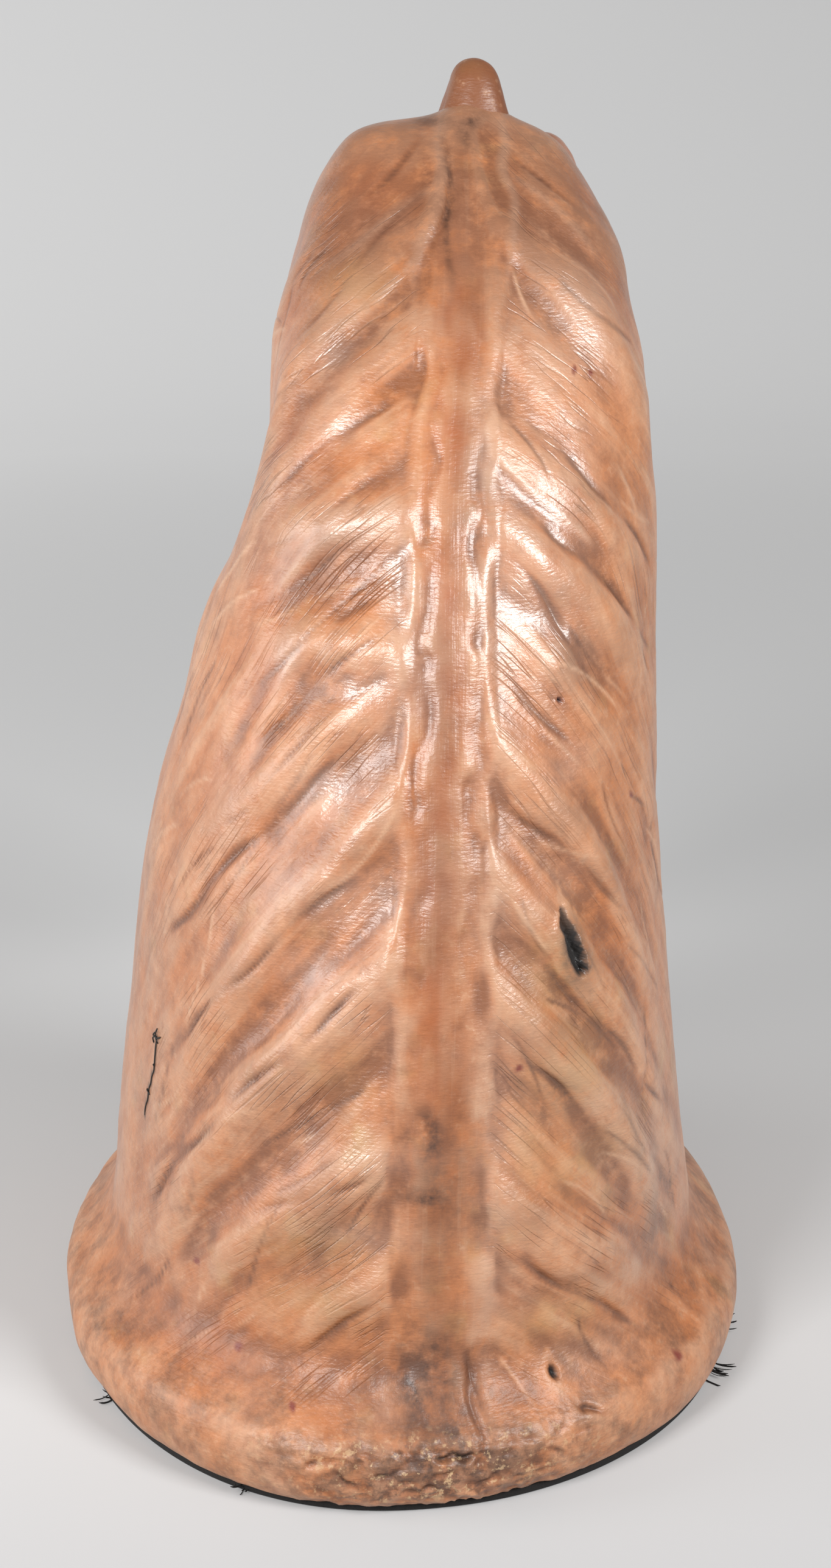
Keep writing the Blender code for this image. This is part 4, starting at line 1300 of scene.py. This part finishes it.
def forelock_form(rows, columns):
    """Fine surface of the forelock: a grooved lock that stands over the poll and falls forward.

    The cross-section is an ellipse carried along a smooth path; strands run along it as small
    waves of the angle that turn slowly with the distance along the path.
    """
    path = np.array(FORELOCK_PATH, dtype=float)
    steps = np.linalg.norm(np.diff(path, axis=0), axis=1)
    knots = np.concatenate([[0.0], np.cumsum(steps)])
    t = np.linspace(0.0, knots[-1], rows)
    centre = spline(knots, path, t)
    wide = spline(knots, np.array(FORELOCK_WIDTHS)[:, None], t)
    deep = spline(knots, np.array(FORELOCK_DEPTHS)[:, None], t)
    across = np.array([1.0, 0.0, 0.0])
    over = np.cross(across, unit(np.gradient(centre, axis=0)))
    angle = np.linspace(0.0, 2.0 * np.pi, columns, endpoint=False)[None, :]
    share = (t / knots[-1])[:, None]
    end = np.sqrt(np.clip(1.0 - share**8, 0.02, 1.0))
    strands = 0.35 * np.sin(angle * 11.0 + share * 7.0)
    strands = strands + 0.5 * np.sin(angle * 6.0 - share * 5.0)
    strands = strands * smooth((share - 0.42) / 0.2)
    points = centre[:, None, :] + across * ((wide + strands) * end * np.cos(angle))[:, :, None]
    points = points + over[:, None, :] * ((deep + strands) * end * np.sin(angle))[:, :, None]
    points = with_head_turn(points)
    return swollen(points, 0.7 * lumpy(points, 15.0, 65, 3))


def tube_form(path, radius, sides):
    """Round tube along a path of points, closing to small ends."""
    ahead = unit(np.gradient(path, axis=0))
    helper = np.where(np.abs(ahead[:, 2:3]) > 0.9, [[1.0, 0.0, 0.0]], [[0.0, 0.0, 1.0]])
    across = unit(np.cross(ahead, helper))
    over = np.cross(ahead, across)
    angle = np.linspace(0.0, 2.0 * np.pi, sides, endpoint=False)[None, :, None]
    share = np.linspace(0.0, 1.0, len(path))
    taper = radius * np.clip(np.minimum(share, 1.0 - share) * 8.0 + 0.35, 0.0, 1.0)
    ring = across[:, None, :] * np.cos(angle) + over[:, None, :] * np.sin(angle)
    return path[:, None, :] + taper[:, None, None] * ring


def skin_place(form, a, z, lift):
    """Point over the neck's skin at a distance round from the crest and a height."""
    off = np.hypot(form["distance"] - a, form["up"] - z)
    off[form["stations"] >= form["poll"]] = np.inf
    i, j = np.unravel_index(np.argmin(off), off.shape)
    return form["points"][i, j] + form["normal"][i, j] * lift


def stitch(form, places, lifts, radius):
    """Tube of thread that bends through three places on the skin, each lifted a little."""
    path = np.array([skin_place(form, a, z, lift) for (a, z), lift in zip(places, lifts)])
    path = spline(np.array([0.0, 0.5, 1.0]), path, np.linspace(0.0, 1.0, 9))
    return tube_form(path, radius, 7)


def finish_piece(piece, material, slot, *nodes):
    """Gives a piece its material and body, hides the nodes it stands for; slot isn't used."""
    piece.data.materials.append(material)
    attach(piece, "root")
    if nodes:
        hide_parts(*nodes)


def join_pieces(name, pieces):
    """One object of several meshes."""
    edit = bmesh.new()
    for piece in pieces:
        edit.from_mesh(piece.data)
        bpy.data.objects.remove(piece, do_unlink=True)
    mesh = bpy.data.meshes.new(name)
    edit.to_mesh(mesh)
    edit.free()
    mesh.shade_smooth()
    return linked(bpy.data.objects.new(name, mesh))


class FormSettings(bpy.types.PropertyGroup):
    """Sizes of the foot and fineness of the surfaces."""

    base_width: FloatProperty(
        name="Base width", description="Width over the rim", default=0.384, unit="LENGTH")
    base_depth: FloatProperty(
        name="Base depth", description="Depth over the rim", default=0.483, unit="LENGTH")
    rim_height: FloatProperty(
        name="Rim height", description="Height of the rolled rim", default=0.040, unit="LENGTH")
    rim_edge: FloatProperty(
        name="Rim edge", description="Inward reach of the roll's upper half",
        default=0.017, unit="LENGTH")
    rim_undercut: FloatProperty(
        name="Rim undercut", description="Inward reach of the roll's lower half",
        default=0.009, unit="LENGTH")
    pad_thickness: FloatProperty(
        name="Pad thickness", description="Thickness of the felt pad",
        default=0.005, unit="LENGTH")
    pad_inset: FloatProperty(
        name="Pad inset", description="How far the pad stays inside the rim",
        default=0.008, unit="LENGTH")
    rim_rows: IntProperty(name="Rim rows", description="Rows of the rolled rim", default=56)
    form_rows: IntProperty(
        name="Form rows", description="Rows of the neck and head", default=640)
    columns: IntProperty(
        name="Columns", description="Points round each section", default=420)


class LeatherSettings(bpy.types.PropertyGroup):
    """Colours and shine of the hide."""

    warm: StringProperty(name="Warm tan", description="Main colour", default="a76538")
    pale: StringProperty(name="Pale tan", description="Lighter dye", default="b27349")
    # Dusty also greys the painted shade of the crown.
    dusty: StringProperty(name="Dusty", description="Greyish bloom", default="926b55")
    dusty_pale: StringProperty(
        name="Dusty pale", description="Greyish rubbed hide", default="b0917c")
    straw: StringProperty(name="Straw", description="Yellowish patches", default="ab8657")
    # Brown also paints the shade of the hollows, the grooves and the crown.
    brown: StringProperty(name="Brown", description="Darker dye", default="683a1f")
    orange: StringProperty(
        name="Orange", description="Bright dye of the band", default="9a5022")
    rubbed: StringProperty(name="Rubbed", description="Worn edges", default="c69f80")
    # Painted sheen: a pale haze laid over the colour where the wax is thick.
    bloom: StringProperty(
        name="Bloom", description="Haze of the thick polished wax", default="d3b9a8")
    cream: StringProperty(name="Cream", description="Torn bits at the rim", default="c2a27a")
    # Umber also paints the shade along the scored lines and the creases.
    umber: StringProperty(name="Umber", description="Dark stains", default="40271a")
    red: StringProperty(name="Red", description="Small dark red spots", default="6e2a1c")
    # Black paints the shade inside the openings.
    black: StringProperty(name="Black", description="Inside the openings", default="120c09")
    eye: StringProperty(name="Eye", description="Stained eye", default="1d120c")
    roughness: FloatProperty(
        name="Roughness", description="Base roughness", default=0.36, subtype="FACTOR")
    wax: FloatProperty(
        name="Wax", description="Weight of the wax layer", default=0.65, subtype="FACTOR")
    wax_roughness: FloatProperty(
        name="Wax roughness", description="Roughness of the wax layer",
        default=0.29, subtype="FACTOR")


class StageSettings(bpy.types.PropertyGroup):
    """Camera, lights and studio paper."""

    camera_distance: FloatProperty(
        name="Camera distance", description="Distance from the bust's axis",
        default=1.25, unit="LENGTH")
    camera_height: FloatProperty(
        name="Camera height", description="Height of the lens", default=0.688, unit="LENGTH")
    camera_side: FloatProperty(
        name="Camera side", description="Turn from straight behind, towards the horse's left",
        default=np.radians(6.0), subtype="ANGLE")
    camera_aim: FloatProperty(
        name="Camera aim", description="Extra turn of the lens",
        default=np.radians(0.36), subtype="ANGLE")
    camera_pitch: FloatProperty(
        name="Camera pitch", description="Downward tilt",
        default=np.radians(17.2), subtype="ANGLE")
    lens: FloatProperty(
        name="Lens", description="Focal length in millimetres", default=55.0)
    left_light: FloatProperty(
        name="Left light", description="Power of the left softbox",
        default=41.0, subtype="POWER")
    right_light: FloatProperty(
        name="Right light", description="Power of the right softbox",
        default=47.0, subtype="POWER")
    side_light: FloatProperty(
        name="Side light", description="Power of the fill beside the horse's left",
        default=16.0, subtype="POWER")
    sky: FloatProperty(
        name="Sky", description="Strength of the surrounding light", default=0.30)
    paper: StringProperty(
        name="Paper", description="Colour of the studio paper", default="bbbbbb")
    # Painted light: the paper's glow, standing for lamps further out.
    painted_far_glow: FloatProperty(
        name="Far glow", description="Light on the paper from further lamps", default=0.70)


class BUST_OT_leather(bpy.types.Operator):
    """Builds the leather skin of the neck and the head"""

    bl_idname = "bust.leather"
    bl_label = "Leather Skin"

    def execute(self, context):
        settings = context.scene.bust_form
        form = bust_form(settings.rim_rows, settings.form_rows, settings.columns)
        FORMS["bust"] = form
        marks, skin = surface_marks(form), skin_coordinates(form)
        world, normal = to_world(form["points"]), form["normal"] * FACING
        leather = waxed_leather("tan_leather_waxed")
        cuts = (CUT_ABOVE_RIM, *(form["poll"] + past for past in CUTS_BY_POLL))
        cuts = [0, *np.searchsorted(form["stations"], cuts), len(world) - 1]
        names = ("rim_leather", "neck_leather", "head_leather", "muzzle_leather")
        for name, first, last in zip(names, cuts[:-1], cuts[1:]):
            rows = slice(first, last + 1)
            piece_marks = {label: values[rows] for label, values in marks.items()}
            piece = grid_object(name, world[rows], normal[rows], piece_marks, skin[rows])
            finish_piece(piece, leather, "leather", "horse_bust")
        return {"FINISHED"}


class BUST_OT_ears(bpy.types.Operator):
    """Builds the two ears and the forelock"""

    bl_idname = "bust.ears"
    bl_label = "Ears and Forelock"

    def execute(self, context):
        orange = context.scene.bust_leather.orange
        leather = waxed_leather("tan_leather_ears", marked=False, shade=0.45, tint=orange)
        for name, sign in (("ear_left", 1.0), ("ear_right", -1.0)):
            piece = grid_object(name, to_world(ear_form(*EAR_GRID, sign)))
            finish_piece(piece, leather, "leather")
        # The forelock's darker brown is partly its dye and partly painted shade of the top of
        # the head.
        leather = waxed_leather(
            "tan_leather_forelock", marked=False, shade=0.76, wax_weight=0.20)
        piece = grid_object("forelock", to_world(forelock_form(*FORELOCK_GRID)))
        finish_piece(piece, leather, "leather")
        return {"FINISHED"}


class BUST_OT_felt(bpy.types.Operator):
    """Builds the felt pad and its frayed ends"""

    bl_idname = "bust.felt"
    bl_label = "Felt Pad"

    def execute(self, context):
        settings = context.scene.bust_form
        felt = matted_felt("black_pressed_felt")
        angle = np.linspace(-np.pi, np.pi, 360, endpoint=False)

        def ring(inset, height):
            side, forward = base_outline(
                angle, settings.base_width, settings.base_depth, settings.pad_inset + inset)
            return np.stack([side, -forward, np.full_like(side, height)], axis=1)

        thick = settings.pad_thickness
        profile = ((0.09, 0.0), (0.0012, 0.0), (0.0003, 0.0006), (0.0, 0.0014),
                   (0.0, thick - 0.0006), (0.0005, thick), (0.09, thick))
        pad = grid_object("felt_pad", np.array([ring(*place) for place in profile]))
        finish_piece(pad, felt, "felt", "base_pad")

        random = np.random.default_rng(7)
        fibres = []
        edge = ring(0.0, 0.0)
        for around, count, reach in FRAYS:
            for _ in range(count):
                turn = around + random.normal(0.0, 0.018)
                start = edge[int(np.argmin(np.abs(angle - turn)))] * 0.99
                reach_out = (reach + settings.pad_inset) * random.uniform(0.7, 1.1)
                out = start / np.linalg.norm(start) * reach_out
                start[2] = random.uniform(0.0012, 0.0045)
                bend = [*random.normal(0.0, 0.0028, 2), random.uniform(-0.0010, 0.0025)]
                s = np.linspace(0.0, 1.0, 7)[:, None]
                sag = np.array([0.0, 0.0, -0.0012]) * np.sin(np.pi * s)
                path = start + (out + np.array(bend)) * s + sag
                path[:, 2] = np.maximum(path[:, 2], 0.0005)
                tube = tube_form(path, random.uniform(0.0002, 0.0005), 6)
                fibres.append(grid_object("fibre", tube))
        finish_piece(join_pieces("felt_frays", fibres), felt, "felt")
        return {"FINISHED"}


class BUST_OT_repair(bpy.types.Operator):
    """Builds the thread of the sewn tear"""

    bl_idname = "bust.repair"
    bl_label = "Sewn Tear"

    def execute(self, context):
        form = FORMS["bust"]
        random = np.random.default_rng(3)
        knots = np.linspace(0.0, 1.0, len(TEAR))
        tear = np.array(TEAR, dtype=float)
        line = spline(knots, tear, np.linspace(0.0, 1.0, 40))
        seam = np.array([skin_place(form, a, z, 0.1) for a, z in line])
        for _ in range(6):
            seam[1:-1] = (seam[:-2] + 2.0 * seam[1:-1] + seam[2:]) / 4.0
        tubes = [tube_form(seam, SEAM_THREAD, 8)]
        for a, z in spline(knots, tear, np.array([0.30, 0.68])):
            wide, rise = random.uniform(1.0, 1.8), random.uniform(-1.6, 1.6)
            ends = [(a - wide, z - rise), (a, z), (a + wide, z + rise)]
            tubes.append(stitch(form, ends, (0.0, 0.8, 0.0), STITCH_THREAD))
        for turn in np.radians([25.0, 95.0, 160.0, 230.0, 325.0]):
            reach = random.uniform(3.5, 7.0) * np.array([np.cos(turn), np.sin(turn)])
            ends = [TEAR[0] + reach * share for share in (0.0, 0.5, 1.0)]
            tubes.append(stitch(form, ends, (0.9, 1.1, 0.3), LOOSE_THREAD))
        pieces = [grid_object("thread", to_world(tube)) for tube in tubes]
        finish_piece(
            join_pieces("repair_thread", pieces), waxed_thread("dark_waxed_thread"), "felt")
        return {"FINISHED"}


class BUST_OT_stage(bpy.types.Operator):
    """Builds the studio paper, the lights and the camera"""

    bl_idname = "bust.stage"
    bl_label = "Stage"

    def execute(self, context):
        settings = context.scene.bust_stage
        level = np.linspace(0.0, FLOOR_LEVEL, 8)[1:]
        radius = np.concatenate([level, np.linspace(FLOOR_LEVEL + 0.2, FLOOR_EDGE, 24)])
        lift = FLOOR_RISE * smooth((radius - FLOOR_LEVEL) / 3.4) ** 1.2
        angle = np.linspace(0.0, 2.0 * np.pi, FLOOR_SIDES, endpoint=False)
        rings = np.stack([radius[:, None] * np.cos(angle), radius[:, None] * np.sin(angle),
                          lift[:, None] + 0.0 * angle], axis=2)
        verts = np.concatenate([rings.reshape(-1, 3), [[0.0, 0.0, 0.0]]])
        sides = [(j, (j + 1) % FLOOR_SIDES) for j in range(FLOOR_SIDES)]
        faces = [(row + j, row + k, row + FLOOR_SIDES + k, row + FLOOR_SIDES + j)
                 for row in range(0, FLOOR_SIDES * (len(radius) - 1), FLOOR_SIDES)
                 for j, k in sides]
        faces += [(len(verts) - 1, k, j) for j, k in sides]
        mesh = bpy.data.meshes.new("studio_floor")
        mesh.from_pydata(verts.tolist(), [], faces)
        mesh.shade_smooth()
        mesh.materials.append(studio_paper("pale_studio_paper"))
        linked(bpy.data.objects.new("studio_floor", mesh))

        for side, (place, (wide, tall)) in SOFTBOXES.items():
            data = bpy.data.lights.new(side + "_softbox", "AREA")
            data.shape = "RECTANGLE"
            data.size, data.size_y = wide, tall
            data.energy = getattr(settings, side + "_light")
            lamp = linked(bpy.data.objects.new(side + "_softbox", data))
            lamp.location = place
            aim = Vector(LIGHTS_AIM) - lamp.location
            lamp.rotation_euler = aim.to_track_quat("-Z", "Y").to_euler()
            lamp.visible_camera = False

        world = bpy.data.worlds.new("studio")
        world.use_nodes = True
        back = world.node_tree.nodes["Background"]
        back.inputs["Color"].default_value = to_linear("dddcdb")
        back.inputs["Strength"].default_value = settings.sky
        context.scene.world = world

        data = bpy.data.cameras.new("photo_camera")
        data.lens = settings.lens
        data.sensor_width = 36.0
        camera = linked(bpy.data.objects.new("photo_camera", data))
        turn, away = settings.camera_side, settings.camera_distance
        camera.location = (away * np.sin(turn), away * np.cos(turn), settings.camera_height)
        camera.rotation_euler = (
            np.pi / 2.0 - settings.camera_pitch, 0.0, np.pi - turn - settings.camera_aim)
        context.scene.camera = camera
        context.scene.view_settings.view_transform = "Standard"
        return {"FINISHED"}


class BUST_PT_panel(bpy.types.Panel):
    """Sidebar panel with the bust's steps"""

    bl_label = "Leather Bust"
    bl_idname = "BUST_PT_panel"
    bl_space_type = "VIEW_3D"
    bl_region_type = "UI"
    bl_category = "Bust"

    def draw(self, context):
        layout = self.layout
        for name in GROUPS:
            box = layout.box()
            group = getattr(context.scene, name)
            for key in group.__annotations__:
                box.prop(group, key)
        for step in STEPS:
            layout.operator("bust." + step)


# The finished form, kept by the leather's step for the repair's step.
FORMS = {}
STEPS = ("leather", "ears", "felt", "repair", "stage")
GROUPS = {
    "bust_form": FormSettings, "bust_leather": LeatherSettings, "bust_stage": StageSettings,
}
CLASSES = (
    *GROUPS.values(), BUST_OT_leather, BUST_OT_ears, BUST_OT_felt, BUST_OT_repair,
    BUST_OT_stage, BUST_PT_panel,
)


def register():
    """Registers the classes and the scene's settings."""
    for item in CLASSES:
        bpy.utils.register_class(item)
    for name, group in GROUPS.items():
        setattr(bpy.types.Scene, name, PointerProperty(type=group))


def unregister():
    """Removes the scene's settings and the classes."""
    for name in GROUPS:
        delattr(bpy.types.Scene, name)
    for item in reversed(CLASSES):
        bpy.utils.unregister_class(item)


def main():
    """Builds the pieces in order."""
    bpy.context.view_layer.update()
    register()
    for step in STEPS:
        getattr(bpy.ops.bust, step)()


if __name__ == "__main__":
    main()
